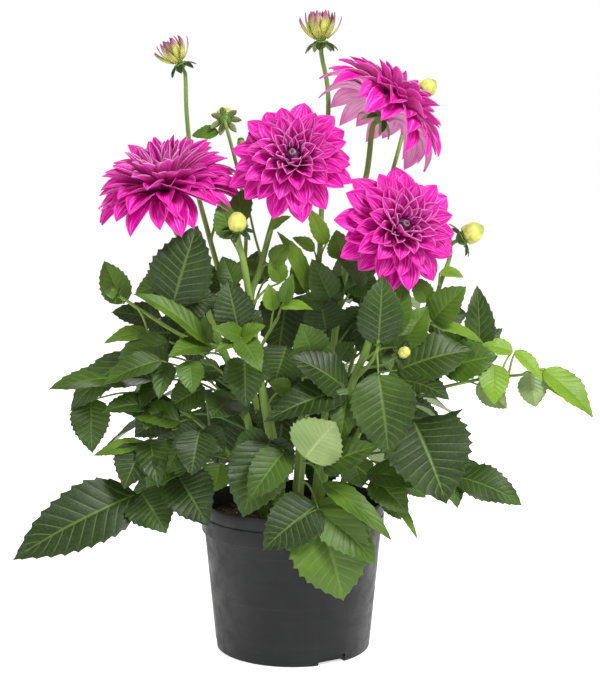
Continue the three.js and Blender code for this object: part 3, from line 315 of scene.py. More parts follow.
            [1, 0.65, [222, -56, 318], [248, -70, 290], 16, 0, [-90, 50]],
            [1, 0.97, [252, -46, 297], [298, -66, 253], 32, 0, [-90, 60]],
            [1, -1, None, [270, -50, 270], 14, 0, [-90, 30]],
            [1, 0.6, [222, -32, 314], [190, -30, 320], 20, 0, [-90, 50]],
        ],
        "heads": ["far_right", None],
    },
    "stem_back_left": {
        "path": [[-20, 44, 141], [-34, 62, 210], [-52, 86, 280], [-64, 98, 330]],
        "radii": [3.8, 2],
        "branches": [],
        "leaves": [
            [0, 325, [-74, 86, 352], [-82, 84, 396], 36, 0, [-90, 10]],
            [0, 262, [-56, 82, 284], [-74, 82, 242], 40, 0, [-90, 10]],
            [0, 300, [-112, 74, 318], [-158, 66, 322], 40, 0.5, [-90, 15]],
            [0, 205, [-96, 52, 222], [-148, 44, 204], 42, 0.5, [-90, 15]],
            [0, 180, [-112, 40, 178], [-172, 34, 154], 34, 0, [-90, 20]],
            [0, 330, [-44, 84, 372], [-36, 76, 410], 30, 0, [-90, 10]],
        ],
        "around": [
            [190, 120, 60, 10, 74, -44, 46, 1.6],
            [240, 165, 70, 14, 70, -26, 40, 0],
            [270, 75, 45, 10, 64, -24, 36, 0.6],
            [325, 130, 40, 20, 56, -8, 34, 0.6],
        ],
        "heads": [],
    },
    "stem_back_right": {
        "path": [[22, 42, 141], [40, 60, 210], [62, 82, 280], [78, 92, 335]],
        "radii": [3.8, 2],
        "branches": [],
        "leaves": [
            [0, 333, [64, 102, 362], [48, 104, 398], 32, 0, [-90, 10]],
            [0, 326, [72, 84, 350], [82, 82, 388], 36, 0, [-90, 10]],
            [0, 262, [70, 56, 284], [84, 48, 256], 34, 0, [-90, 10]],
            [0, 270, [42, 74, 294], [32, 74, 330], 30, 0, [-90, 10]],
            [0, 290, [140, 66, 336], [186, 58, 342], 38, 0, [-90, 15]],
            [0, 185, [36, 42, 196], [20, 36, 160], 40, 0, [-90, 10]],
            [0, 222, [112, 62, 232], [162, 60, 226], 40, 0, [-90, 15]],
            [0, 250, [20, 60, 272], [-6, 54, 262], 34, 0, [-90, 10]],
        ],
        "around": [
            [190, 60, 60, 10, 74, -44, 46, 1.6],
            [235, 15, 70, 14, 68, -26, 40, 0],
            [265, 100, 40, 12, 66, -22, 36, 0.6],
            [330, 45, 40, 18, 54, -8, 34, 0.6],
        ],
        "heads": [],
    },
}

# Blooms: at is the top of the stem's head and axis the way the bloom faces. turn is about its
# axis, and lift and hang are how far the outer petals first rise and then hang, all in degrees.
# crown is the length of the inmost petals. neck is how far below the head its stem turns in line
# with it. size scales the bloom.

BLOOMS = {
    "left": {
        "at": [-125, -28, 470], "axis": [-0.14, -0.36, 0.92], "size": 1.3,
        "turn": 0, "lift": 16, "hang": 42, "crown": 32,
    },
    "centre": {
        "at": [0, -50, 503], "axis": [0, -0.89, 0.45], "size": 1.06,
        "turn": 8, "lift": 0, "hang": 0, "crown": 20,
    },
    "right_low": {
        "at": [103, -54, 436], "axis": [0.3, -0.88, 0.38], "size": 1.1,
        "turn": 85, "lift": 2, "hang": 2, "crown": 20,
    },
    "right_high": {
        "at": [90, 2, 550], "axis": [0.62, 0.12, 0.78], "size": 1.25,
        "turn": 120, "lift": 24, "hang": 76, "crown": 26, "neck": 12,
    },
}

# Buds: the same, with a kind. The opening and tight ones are pieces of their own, and the green
# ones are one with their stem.

BUDS = {
    "high_left": {"at": [-117, 38, 605], "axis": [-0.45, -0.15, 0.88], "kind": "opening", "size": 1},
    "high_middle": {"at": [29, 46, 628], "axis": [-0.04, 0, 1], "kind": "opening", "size": 1.15},
    "turned_bud": {"at": [-69, 12, 547], "axis": [-0.1, 0.88, 0.45], "kind": "tight", "size": 1},
    "front_bud": {"at": [-53, -84, 441], "axis": [0, -0.5, 0.86], "kind": "tight", "size": 1},
    "far_bud": {"at": [137, 97, 576], "axis": [0.75, 0.25, 0.6], "kind": "tight", "size": 1.12},
    "far_right": {"at": [176, 9, 427], "axis": [0.85, -0.15, 0.5], "kind": "tight", "size": 1.2},
    "round_bud": {"at": [105, -98, 320], "axis": [0.6, -0.6, 0.5], "kind": "tight", "size": 0.6},
    "side_left": {"at": [-178, -30, 372], "axis": [-0.8, -0.35, 0.5], "kind": "green", "size": 0.62},
    "side_bud": {"at": [-70, 31, 479], "axis": [0.3, -0.3, 0.9], "kind": "green", "size": 0.62},
    "thin_bud": {"at": [-53, 28, 520], "axis": [-0.1, 0.1, 1], "kind": "green", "size": 0.45},
    "young_bud": {"at": [83, -96, 331], "axis": [0, -0.2, 1], "kind": "green", "size": 0.35},
}


# Small helpers


def vec(*values):
    return np.array(values, float)


def unit(v):
    return v / np.linalg.norm(v)


def mix(a, b, k):
    return a + (b - a) * k


def scatter(a, b):
    """Even-looking scatter between 0 and 1 from two whole numbers."""
    s = math.sin(a * 12.9898 + b * 78.233) * 43758.5453
    return s - math.floor(s)


def square_to(direction, line):
    """The part of a direction that stands square to a line, as a unit vector."""
    return unit(direction - line * (direction @ line) / (line @ line))


def smooth_point(points, t):
    """A point on the smooth curve through the points, at t from 0 to 1."""
    last = len(points) - 1
    place = min(max(t, 0.0), 1.0) * last
    i = min(int(place), last - 1)
    w = place - i
    a, b = points[i], points[i + 1]
    before = points[i - 1] if i > 0 else 2 * a - b
    after = points[i + 2] if i + 2 <= last else 2 * b - a
    slope_a, slope_b = (b - before) / 2, (after - a) / 2
    return (
        (2 * w**3 - 3 * w**2 + 1) * a
        + (w**3 - 2 * w**2 + w) * slope_a
        + (-2 * w**3 + 3 * w**2) * b
        + (w**3 - w**2) * slope_b
    )


def smooth_line(points, steps):
    """Evenly spaced points along the smooth curve."""
    fine = np.array([smooth_point(points, i / 200) for i in range(201)])
    run = np.concatenate([[0], np.cumsum(np.linalg.norm(np.diff(fine, axis=0), axis=1))])
    at = np.linspace(0, run[-1], steps + 1)
    return np.stack([np.interp(at, run, fine[:, c]) for c in range(3)], axis=1)


def place_on(points, place):
    """A point on a rising path, by its height or by its share of the way."""
    if place <= 1:
        return smooth_point(points, place)
    low, high = 0.0, 1.0
    for _ in range(30):
        middle = (low + high) / 2
        if smooth_point(points, middle)[2] < place:
            low = middle
        else:
            high = middle
    return smooth_point(points, low)


class Turn:
    """Where a flower head stands: its place, and the rotation of its own +Z onto its axis."""

    def __init__(self, head):
        axis = Vector(head["axis"]).normalized()
        spin = Matrix.Rotation(math.radians(head.get("turn", 0)), 3, "Z")
        self.matrix = np.array(Vector((0, 0, 1)).rotation_difference(axis).to_matrix() @ spin)
        self.at = vec(*head["at"])

    def points(self, local):
        return np.asarray(local) @ self.matrix.T + self.at


class Piece:
    """Gathers the surfaces of one visible piece. paint is three numbers that its material reads."""

    def __init__(self, name):
        self.name = name
        self.count = 0
        self.points = []
        self.uvs = []
        self.faces = []
        self.paints = []

    def add(self, points, uvs, faces):
        """faces: list of (rows of point numbers, paint)."""
        self.points.append(np.asarray(points, float))
        self.uvs.append(np.asarray(uvs, float))
        for rows, paint in faces:
            rows = np.asarray(rows, int)
            self.faces.append(rows + self.count)
            self.paints.append(np.tile(np.asarray([*paint, 1.0]), (rows.size, 1)))
        self.count += len(points)

    def build(self, material, slot, *nodes):
        points = np.concatenate(self.points) * MM
        corners = np.concatenate([rows.ravel() for rows in self.faces])
        sizes = np.concatenate([np.full(len(rows), rows.shape[1]) for rows in self.faces])
        starts = np.concatenate([[0], np.cumsum(sizes)[:-1]])
        mesh = bpy.data.meshes.new(self.name)
        mesh.vertices.add(len(points))
        mesh.vertices.foreach_set("co", points.ravel())
        mesh.loops.add(len(corners))
        mesh.polygons.add(len(sizes))
        mesh.polygons.foreach_set("loop_start", starts.astype(np.int32))
        mesh.polygons.foreach_set("vertices", corners.astype(np.int32))
        mesh.update(calc_edges=True)
        grain = mesh.uv_layers.new(name="Grain")
        grain.data.foreach_set("uv", np.concatenate(self.uvs)[corners].ravel())
        paint = mesh.attributes.new("paint", "FLOAT_COLOR", "CORNER")
        paint.data.foreach_set("color", np.concatenate(self.paints).ravel())
        mesh.shade_smooth()
        obj = bpy.data.objects.new(self.name, mesh)
        bpy.context.scene.collection.objects.link(obj)
        return finish_piece(obj, material, slot, *nodes)


def finish_piece(obj, material, slot, *nodes):
    obj.data.materials.clear()
    obj.data.materials.append(material)
    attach(obj, "root")
    if nodes:
        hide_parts(*nodes)
    return obj


# Surfaces


def sheet(piece, rows, thickness, upper, under, u, v):
    """A thin closed sheet from a grid of middle points and their normals.
    rows: (points, normals), each rows x columns x 3. upper, under: the two sides' paint."""
    points, normals = rows
    n, m = points.shape[:2]
    half = thickness / 2
    top = points + normals * half
    top[:, 0] = points[:, 0]
    top[:, -1] = points[:, -1]
    low = (points - normals * half)[:, 1:-1]
    top_id = np.arange(n * m).reshape(n, m)
    low_id = top_id.copy()
    low_id[:, 1:-1] = n * m + np.arange(n * (m - 2)).reshape(n, m - 2)
    uv = np.stack(np.broadcast_arrays(u[:, None], v[None, :]), axis=-1)
    faces = [
        (quads(top_id), upper),
        (quads(low_id)[:, ::-1], under),
    ]
    for row, flip in ((0, 1), (n - 1, -1)):
        t, b = top_id[row], low_id[row]
        ends = [[t[0], b[1], t[1]], [t[m - 2], b[m - 2], t[m - 1]]]
        walls = [[t[j], b[j], b[j + 1], t[j + 1]] for j in range(1, m - 2)]
        faces.append((np.array(ends)[:, ::flip], under))
        faces.append((np.array(walls)[:, ::flip], under))
    piece.add(
        np.concatenate([top.reshape(-1, 3), low.reshape(-1, 3)]),
        np.concatenate([uv.reshape(-1, 2), uv[:, 1:-1].reshape(-1, 2)]),
        faces,
    )


def quads(ids):
    """The quads of a grid of point numbers, anticlockwise seen from column x row."""
    return np.stack([ids[:-1, :-1], ids[:-1, 1:], ids[1:, 1:], ids[1:, :-1]], axis=-1).reshape(-1, 4)


def arched_grid(base, tip, normal, arch, t, side, lift):
    """Grid of a blade along an arched axis. side, lift: offsets across it and off its face."""
    along = tip - base
    length = np.linalg.norm(along)
    face = square_to(normal, along)
    across = np.cross(along / length, face)
    middle = (base + tip) / 2 + face * arch * length
    t = t[:, None]
    axis = (1 - t) ** 2 * base + 2 * t * (1 - t) * middle + t**2 * tip
    heading = 2 * (1 - t) * (middle - base) + 2 * t * (tip - middle)
    heading /= np.linalg.norm(heading, axis=1)[:, None]
    normals = np.cross(across, heading)
    points = axis[:, None] + across * side[..., None] + normals[:, None] * lift[..., None]
    return points, np.broadcast_to(normals[:, None], points.shape)


def tube(piece, points, radii, sides, paint, steps):
    """A smooth tapering tube with closed ends."""
    line = smooth_line(points, steps)
    heading = np.gradient(line, axis=0)
    heading /= np.linalg.norm(heading, axis=1)[:, None]
    side = square_to(vec(0.3, -1, 0.2), heading[0])
    rings = []
    angles = np.arange(sides) / sides * 2 * math.pi
    for i, (centre, way) in enumerate(zip(line, heading)):
        side = square_to(side, way)
        other = np.cross(way, side)
        radius = mix(radii[0], radii[1], i / steps)
        spokes = np.cos(angles)[:, None] * side + np.sin(angles)[:, None] * other
        rings.append(centre + radius * spokes)
    ids = np.arange((steps + 1) * sides).reshape(steps + 1, sides)
    ring_ids = np.concatenate([ids, ids[:, :1]], axis=1)
    u = np.repeat(np.linspace(0, 1, steps + 1), sides)
    v = np.tile(np.arange(sides) / sides, steps + 1)
    points = np.concatenate([np.concatenate(rings), line[:1], line[-1:]])
    foot, top = len(points) - 2, len(points) - 1
    foot_fan = [[foot, ids[0, (j + 1) % sides], ids[0, j]] for j in range(sides)]
    top_fan = [[top, ids[-1, j], ids[-1, (j + 1) % sides]] for j in range(sides)]
    uvs = np.concatenate([np.stack([u, v], axis=1), [[0, 0], [1, 0]]])
    piece.add(points, uvs, [(quads(ring_ids), paint), (foot_fan + top_fan, paint)])


def turned(piece, profile, sides, place, size, paint, wobble=None):
    """A turned body: profile of [radius, height] from its foot on the axis to its top on it.
    place moves local points to where they belong."""
    inner = np.array(profile[1:-1], float) * size
    angles = np.arange(sides) / sides * 2 * math.pi
    rings = []
    for radius, height in inner:
        ring = np.stack([radius * np.cos(angles), radius * np.sin(angles), np.full(sides, height)], axis=1)
        rings.append(ring)
    local = np.concatenate(rings)
    if wobble:
        local = wobble(local)
    ends = [[0, 0, profile[0][1] * size], [0, 0, profile[-1][1] * size]]
    count = len(inner)
    ids = np.arange(count * sides).reshape(count, sides)
    ring_ids = np.concatenate([ids, ids[:, :1]], axis=1)
    foot, top = count * sides, count * sides + 1
    fans = [[foot, ids[0, (j + 1) % sides], ids[0, j]] for j in range(sides)]
    fans += [[top, ids[-1, j], ids[-1, (j + 1) % sides]] for j in range(sides)]
    u = np.repeat(np.linspace(0, 1, count), sides)
    v = np.tile(np.arange(sides) / sides, count)
    uvs = np.concatenate([np.stack([u, v], axis=1), [[0, 0], [1, 0]]])
    piece.add(place(np.concatenate([local, ends])), uvs, [(quads(ring_ids), paint), (fans, paint)])


# Leaves. Paint: 0 for a stem, 0.5 for a leaf's upper side and 1 for its underside; how young and bright it
# is, with its painted backlight and painted shade in it; how clearly its veins show.

LEAF_COLUMNS = np.array([0, 0.05, 0.2, 0.38, 0.56, 0.74, 0.9, 0.97, 1])
SMALL_LEAF_COLUMNS = np.array([0, 0.08, 0.4, 0.75, 0.96, 1])
TOOTH = ((0.0, -0.5), (0.4, 0.1), (0.76, 1.0), (0.9, -0.3))
VEIN_SLANT = 2.0
LEAF_ARCH = 0.13


def both_sides(columns):
    """Places across a blade, from edge to edge, out of those from its midline to one edge."""
    return np.concatenate([-columns[:0:-1], columns])


def leaf_width(t):
    return t**0.6 * (1 - t) ** 1.05 / 0.339


def leaf_rows(teeth):
    """Stations along a leaflet, how far its edge stands out there, and the count of its side
    veins up to there, which is whole at the point of each tooth."""
    t, saw = [0.0, 0.03], [0.0, 0.0]
    pitch = 0.9 / teeth
    for i in range(teeth):
        for share, out in TOOTH:
            t.append(0.06 + (i + share) * pitch)
            saw.append(out)
    t = np.array(t + [0.98, 1.0])
    return t, np.array(saw + [0.0, 0.0]), (t - 0.06) / pitch - 0.76


def leaflet(piece, base, tip, normal, half, fold, tone, seed):
    """One toothed blade. half: half its greatest width. Its seed sets its own bends."""
    teeth = 10 if half > 20 else 8 if half > 13 else 6 if half > 7 else 4
    t, saw, veins = leaf_rows(teeth)
    s = both_sides(LEAF_COLUMNS if half > 9 else SMALL_LEAF_COLUMNS)
    out = np.abs(s)
    width = np.maximum(half * leaf_width(np.clip(t, 0, 1)), 0.35)
    edge = (0.065 * half * saw * np.sin(math.pi * np.clip(t, 0, 1)) ** 0.5)[:, None]
    side = width[:, None] * s + edge * np.sign(s) * out**5
    phase = 6.28 * scatter(seed, 3)
    ripple = 0.05 * half * out**2 * np.sin(2 * math.pi * 2.1 * t[:, None] + phase + 2.2 * (s > 0))
    groove = -0.4 * np.exp(-((s / 0.06) ** 2)) * np.sin(math.pi * t)[:, None]
    twist = 0.5 * (scatter(seed, 17) - 0.5) * side * t[:, None]
    droop = -0.09 * np.linalg.norm(tip - base) * scatter(seed, 19) * (t**3)[:, None]
    lift = fold * (0.6 + 0.8 * scatter(seed, 23)) * np.abs(side) + ripple + groove + twist + droop
    grid = arched_grid(base, tip, normal, LEAF_ARCH, t, side, lift)
    clear = min(1.0, half / 14)
    sheet(piece, grid, LEAF_THICKNESS, (0.5, tone, clear), (1, tone, clear), veins, (s + 1) / 2)


def facing(joint, turn):
    """The way a leaf's upper side faces, from its azimuth and elevation in degrees."""
    if turn:
        azimuth, elevation = (math.radians(a) for a in turn)
        return vec(
            math.cos(azimuth) * math.cos(elevation),
            math.sin(azimuth) * math.cos(elevation),
            math.sin(elevation),
        )
    return unit(unit(vec(joint[0], joint[1], 0)) * 0.6 + 0.8 * UP)


def stalk_bend(start, joint):
    """The middle of an arching leaf stalk."""
    return (start + joint) / 2 + UP * 0.12 * np.linalg.norm(joint - start)


def leaf_tone(joint, width, seed):
    """Young leaves are small, high and bright; old ones are wide, low and dark. Leaves further back are
    painted darker, as painted shade.
    """
    young = 0.75 * (1 - min(width, 40) / 40) + 0.2 * min(max((joint[2] - 300) / 150, 0), 1)
    # Painted shade: leaves towards the back of the plant are darker.
    inner = 0.25 * min(max(joint[1] / 60, 0), 1)
    return min(max(young - inner + 0.36 * (scatter(seed, 7) - 0.3), 0.0), 0.95)


def painted_backlight(stem_name, path_number, width):
    """How much brighter than its like a leaf is painted, as painted backlight."""
    for name, number, wide, more in BACKLIT_LEAVES:
        if name == stem_name and number == path_number and wide in (None, width):
            return more
    return 0


def leaf(piece, start, joint, tip, width, pair, turn, seed, bright=0):
    """A stalk, an end leaflet and the pairs of side leaflets before it."""
    normal = facing(joint, turn)
    half = LEAF_FULLNESS * width / 2
    # Painted backlight: the listed leaves have their colour raised by bright.
    tone = min(leaf_tone(joint, width, seed) + bright, 1)
    leaflet(piece, joint, tip, normal, half, 0.22, tone, seed)
    if start is None:
        return
    bend = stalk_bend(start, joint)
    tube(piece, [start, bend, joint], (PETIOLE_RADIUS * 0.9, 0.9), 7, (0, tone, 0), 12)
    share = pair - 1 if pair > 1 else pair
    shares = [share, share * 0.8] if pair > 1 else [share] if pair > 0 else []
    along = tip - joint
    face = square_to(normal, along)
    across = np.cross(unit(along), face)
    run = joint - bend
    span = min(0.3, 8 / np.linalg.norm(run))
    for i, size in enumerate(shares):
        at = 1 - (i + 1) * span * 1.9
        centre = bend + run * ((at + 1) / 2 if i == 0 else at + span / 2)
        for sign in (1, -1):
            own = size * (1 if sign > 0 else 0.92)
            reach = np.linalg.norm(along) * own
            end = centre + along * 0.55 * own + across * 0.8 * sign * reach - face * 0.12 * reach
            leaflet(piece, centre, end, face, half * own * 1.04, 0.2, tone, seed + 31 * (i + 1) + sign)


# Flower heads


def blade_in_head(piece, turn, angle, start, end, shape, thickness, paints, outward=False):
    """A blade in a head's own frame, by its angle and its start and end as [radius, height].
    shape: (stations, offsets across, offsets off its face, arch)."""
    t, s, side, lift, arch = shape
    radial = vec(math.cos(angle), math.sin(angle), 0)
    base = radial * start[0] + UP * start[1]
    tip = radial * end[0] + UP * end[1]
    rise = math.atan2(end[1] - start[1], end[0] - start[0])
    slope = -math.sin(rise) * radial + math.cos(rise) * UP
    points, normals = arched_grid(base, tip, -slope if outward else slope, arch, t, side, lift)
    grid = turn.points(points), normals @ turn.matrix.T
    sheet(piece, grid, thickness, paints[0], paints[1], t, (s + 1) / 2)


BRACT_ROWS = np.array([0, 0.12, 0.3, 0.5, 0.7, 0.86, 0.96, 1])
BRACT_COLUMNS = both_sides(np.array([0, 0.5, 0.94, 1]))


def bract(piece, turn, angle, start, end, width, arch, tone, outward=False):
    t, s = BRACT_ROWS, BRACT_COLUMNS
    half = np.maximum(width / 2 * np.sin(math.pi * (0.16 + 0.84 * t)) ** 0.8, 0.2)
    side = half[:, None] * s
    lift = 0.25 * np.abs(side) + 0 * t[:, None]
    shape = (t, s, side, lift, arch)
    paints = ((0.5, tone, 0.2), (1, tone * 0.5, 0.2))
    blade_in_head(piece, turn, angle, start, end, shape, 0.8, paints, outward)


CUP_PROFILE = [[0, -8], [3.4, -8], [4.8, -6.8], [7.2, -4], [8.2, -1.8], [7.4, -0.4], [4, -0.1], [0, 0]]


def head_cup(piece, head, size, bracts, reach, drop, tone):
    """The green head of a stem, with its bracts folded back by their drop."""
    turn = Turn(head)
    turned(piece, CUP_PROFILE, 20, turn.points, size, (0, tone, 0))
    for i in range(bracts):
        angle = (i + 0.25 * scatter(i, bracts)) * 2 * math.pi / bracts
        sag = 1 + 0.2 * (scatter(i, 5) - 0.5)
        start = [6.2 * size, -2.4 * size]
        end = [reach * size * 0.98, -drop * size * sag]
        bract(piece, turn, angle, start, end, 8.4 * size, 0.12, tone)


PETAL_ROWS = np.array([0, 0.08, 0.2, 0.32, 0.44, 0.56, 0.68, 0.78, 0.86, 0.93, 0.975, 1])
PETAL_COLUMNS = both_sides(np.array([0, 0.17, 0.34, 0.5, 0.67, 0.84, 0.97, 1]))


def petal_width(t):
    """A petal's width along its way, 1 at its widest."""
    rising = 0.3 + 0.7 * np.sin(math.pi / 2 * np.minimum(t / 0.6, 1)) ** 1.2
    falling = 1 - np.clip((t - 0.6) / 0.4, 0, 1) ** 2.4
    return rising * falling


def petal_shape(width, arch, fold, seed):
    t, s = PETAL_ROWS, PETAL_COLUMNS
    half = np.maximum(width / 2 * petal_width(t), 0.18)
    side = half[:, None] * s
    out = np.abs(s)
    cup = fold * half[:, None] * (0.35 * out + 0.65 * out**2.2)
    channels = 0.035 * width * np.cos(3 * math.pi * s) * np.sin(math.pi * t[:, None])
    twist = 0.6 * (scatter(seed, 11) - 0.5) * side * t[:, None]
    ripple = 0.04 * width * np.sin(6.5 * t[:, None] + 6.28 * scatter(seed, 13)) * out**2 * np.sign(s)
    return t, s, side, cup + channels + twist + ripple, arch


def bloom_petals(name, bloom, seed):
    """Paint: 0 for the upper side and 1 for the underside, place from the rim in, chance."""
    piece = Piece(f"bloom_{name}")
    turn = Turn(bloom)
    size, lift, hang, crown = (bloom[key] for key in ("size", "lift", "hang", "crown"))
    core = [[0, GAP], [10, GAP], [12, 4], [9, 10], [6, CORE_HEIGHT], [0, CORE_HEIGHT]]
    turned(piece, core, 24, turn.points, 1, (1, 0.6, 0.5))
    count = PETALS_ON_A_DOME if hang > 10 else PETALS_ON_A_FLAT_BLOOM
    slim = 0.82 if hang > 10 else 1
    for i in range(count):
        k = i / (count - 1)
        jitter = scatter(i, seed) - 0.5
        length = mix(52, crown, k**1.25) * size * (1 + 0.16 * jitter)
        width = mix(25, 9, k**1.1) * slim * size * (1 + 0.2 * (scatter(i, seed + 20) - 0.5))
        rise = math.radians(mix(2 + lift, 74, k**1.35) + 11 * jitter)
        curl = math.radians(mix(-26 - hang, 8, k**0.9))
        mean = rise + curl / 2
        start = [mix(9, 8, k), mix(3, 11.5, k)]
        end = [start[0] + length * math.cos(mean), start[1] + length * math.sin(mean)]
        shape = petal_shape(width, -0.5 * math.tan(curl / 2), mix(0.42, 0.95, k), i + 40 * seed)
        chance = scatter(i, seed + 9)
        paints = ((0, k, chance), (1, k, chance))
        angle = i * GOLDEN_ANGLE + 0.22 * (chance - 0.5)
        blade_in_head(piece, turn, angle, start, end, shape, PETAL_THICKNESS, paints)
    return piece.build(petal_material, "petals", f"petals_{name}")


FLORET_PROFILE = [[0, 0], [0.9, 0.3], [1.3, 2.4], [1.25, 5], [0.8, 7.6], [0.3, 9.4], [0, 10]]


def bloom_heart(name, bloom):
    """The closed florets in the middle. Paint: 0, place from the rim in, chance."""
    piece = Piece(f"centre_{name}")
    turn = Turn(bloom)
    foot = CORE_HEIGHT + GAP
    dome = [[0, foot], [7.4, foot], [7.6, foot + 3], [5.5, foot + 7], [2.5, foot + 8.5], [0, foot + 9]]
    turned(piece, dome, 20, turn.points, 1, (0, 0.5, 0.5))
    for i in range(FLORETS_PER_HEART):
        k = (i + 0.5) / FLORETS_PER_HEART
        radius = 8 * math.sqrt(k)
        angle = i * GOLDEN_ANGLE
        lean = -0.75 * k
        height = foot + 5.5 - 4.5 * k + 0.8 * scatter(i, 4)
        radial = Vector((math.cos(angle), math.sin(angle), 0))
        tilt = Vector((0, 0, 1)).rotation_difference(Vector((0, 0, 1)) + lean * radial)
        stand = np.array(tilt.to_matrix())
        foot_point = vec(radius * radial.x, radius * radial.y, height)

        def place(local, stand=stand, foot_point=foot_point):
            return turn.points(np.asarray(local) @ stand.T + foot_point)

        turned(piece, FLORET_PROFILE, 7, place, 0.85 + 0.3 * k, (0, k, scatter(i, 6)))
    return piece.build(heart_material, "heart", f"heart_{name}")


def egg(wide, high, foot):
    """Profile of a bud's closed body."""
    return [
        [0, foot], [wide * 0.62, foot], [wide * 0.94, high * 0.24], [wide, high * 0.42],
        [wide * 0.9, high * 0.66], [wide * 0.6, high * 0.86], [wide * 0.25, high * 0.96],
        [0, high * 0.97],
    ]


def bud_scale(piece, turn, angle, start, end, width, arch, paints):
    t, s = BRACT_ROWS, BRACT_COLUMNS
    half = np.maximum(width / 2 * np.sin(math.pi * (0.22 + 0.78 * t)) ** 0.75, 0.15)
    side = half[:, None] * s
    lift = -0.32 * np.abs(side) + 0 * t[:, None]
    blade_in_head(piece, turn, angle, start, end, (t, s, side, lift, arch), 0.7, paints, True)


def bud_scales(piece, bud, green=False):
    """A bud's scales. Paint: how purple the tip is, place from the rim in, chance."""
    turn = Turn(bud)
    size = bud["size"]
    opening = bud["kind"] == "opening"
    high = (17 if opening else 19) * size
    wide = (8.5 if opening else 10) * size
    foot = -1 if green else GAP
    body_paint = (0.5, 0.7, 0.2) if green else (0, 0.4, 0.5)
    body = 0.8 if opening else 0.93
    turned(piece, egg(wide * body, high * 0.95, foot), 20, turn.points, 1, body_paint)
    if opening:
        rings = [
            ([wide * 0.7, 1.6], [20 * size, 21 * size], 6.2, 0.26, 7),
            ([wide * 0.74, 2.2], [13.5 * size, 25.5 * size], 8, 0.24, 7),
            ([wide * 0.7, 3], [8 * size, 27 * size], 8, 0.24, 6),
            ([wide * 0.5, 4.5], [3 * size, 25.5 * size], 7, 0.28, 5),
        ]
    else:
        rings = []
        for j in range(4):
            start = [wide * 0.78, foot + 1 + 2.2 * j]
            end = [wide * mix(0.5, 0.04, j / 3), high * mix(0.74, 0.99, j / 3)]
            rings.append((start, end, mix(9.5, 7, j / 3), 0.34, 7))
    for j, (start, end, width, arch, count) in enumerate(rings):
        for i in range(count):
            angle = (i + 0.5 * (j % 2)) / count * 2 * math.pi + 0.1 * j
            k = j / (len(rings) - 1)
            chance = scatter(i, j + 3)
            far = [end[0] * (1 + 0.1 * (chance - 0.5)), end[1] * (1 - 0.04 * chance)]
            paint = (0.5, 0.75 - 0.3 * k, 0.2) if green else (1.0 if opening else 0.12, k, chance)
            bud_scale(piece, turn, angle, start, far, width * size, arch, (paint, paint))


# Stems


def head_of(name):
    return BLOOMS.get(name) or BUDS.get(name) if name else None


def necked_path(points, head):
    path = [vec(*p) for p in points]
    if head:
        axis = unit(vec(*head["axis"]))
        at = vec(*head["at"])
        is_bud = "kind" in head
        neck = head.get("neck", 13 if is_bud else 25)
        path.append(at - axis * neck * head["size"])
        path.append(at - axis * (4.5 * head["size"] if is_bud else 5))
    return path


def main_points(stem):
    start, following = vec(*stem["path"][0]), vec(*stem["path"][1])
    down = start - following
    foot = start + down * (PEG_DEPTH + 1) / -down[2]
    return necked_path([foot, *stem["path"]], head_of(stem["heads"][0] if stem["heads"] else None))


HEAD_FORMS = {"opening": (7, 18, 12, 0.02), "tight": (7, 20, 7, 0.02), "green": (5, 20, 4, 0.5)}


def stem_head(piece, name):
    if not name:
        return
    if name in BLOOMS:
        head_cup(piece, BLOOMS[name], 1, 6, 21, 15, 0.35)
        return
    bud = BUDS[name]
    bracts, reach, drop, tone = HEAD_FORMS[bud["kind"]]
    head_cup(piece, bud, 0.85 * bud["size"], bracts, reach, drop, tone)
    if bud["kind"] == "green":
        bud_scales(piece, bud, green=True)


def stem_piece(name, stem, number):
    piece = Piece(f"foliage_{name[5:]}")
    main = main_points(stem)
    paths = [main]
    tube(piece, main, [radius * 0.93 for radius in stem["radii"]], 14, (0, 0.45, 0), 60)
    for i, (place, points, radius) in enumerate(stem["branches"]):
        head = head_of(stem["heads"][i + 1] if i + 1 < len(stem["heads"]) else None)
        path = necked_path([place_on(main, place), *points], head)
        paths.append(path)
        tube(piece, path, (radius * 1.08, radius * 0.86), 10, (0, 0.55, 0), 30)
    for head in stem["heads"]:
        stem_head(piece, head)
    joint, inward = None, None
    seed = 100 * number
    for path_number, place, at, tip, width, pair, turn in stem["leaves"]:
        seed += 1
        start = None
        if at:
            start = place_on(paths[path_number], place)
            joint = vec(*at)
            inward = unit(stalk_bend(start, joint) - joint)
        else:
            joint = joint + inward * LEAFLET_STEP
        bright = painted_backlight(name, path_number, width)
        leaf(piece, start, joint, vec(*tip), width, pair, turn, seed, bright)
    for place, azimuth, reach, rise, length, drop, width, pair in stem.get("around", []):
        seed += 1
        start = place_on(main, place)
        out = vec(math.cos(math.radians(azimuth)), math.sin(math.radians(azimuth)), 0)
        at = start + out * reach + UP * rise
        tip = at + out * length + UP * drop
        leaf(piece, start, at, tip, width, pair, [azimuth, 55], seed)
    return piece.build(leaf_material, "foliage", name)


# Pot and soil


def as_object(name, vertices, faces):
    mesh = bpy.data.meshes.new(name)
    mesh.from_pydata([tuple(np.asarray(p) * MM) for p in vertices], [], faces)
    mesh.update()
    obj = bpy.data.objects.new(name, mesh)
    bpy.context.scene.collection.objects.link(obj)
    return obj


def lathe_object(name, profile, sides):
    """Closed turned body from a profile that starts and ends on the axis."""
    inner = profile[1:-1]
    points = []
    for radius, height in inner:
        for j in range(sides):
            angle = j / sides * 2 * math.pi
            points.append((radius * math.cos(angle), radius * math.sin(angle), height))
    points += [(0, 0, profile[0][1]), (0, 0, profile[-1][1])]
    faces = []
    for i in range(len(inner) - 1):
        for j in range(sides):
            k = (j + 1) % sides
            faces.append((i * sides + j, i * sides + k, (i + 1) * sides + k, (i + 1) * sides + j))
    last = (len(inner) - 1) * sides
    for j in range(sides):
        k = (j + 1) % sides
        faces.append((len(points) - 2, k, j))
        faces.append((len(points) - 1, last + j, last + k))
    return as_object(name, points, faces)


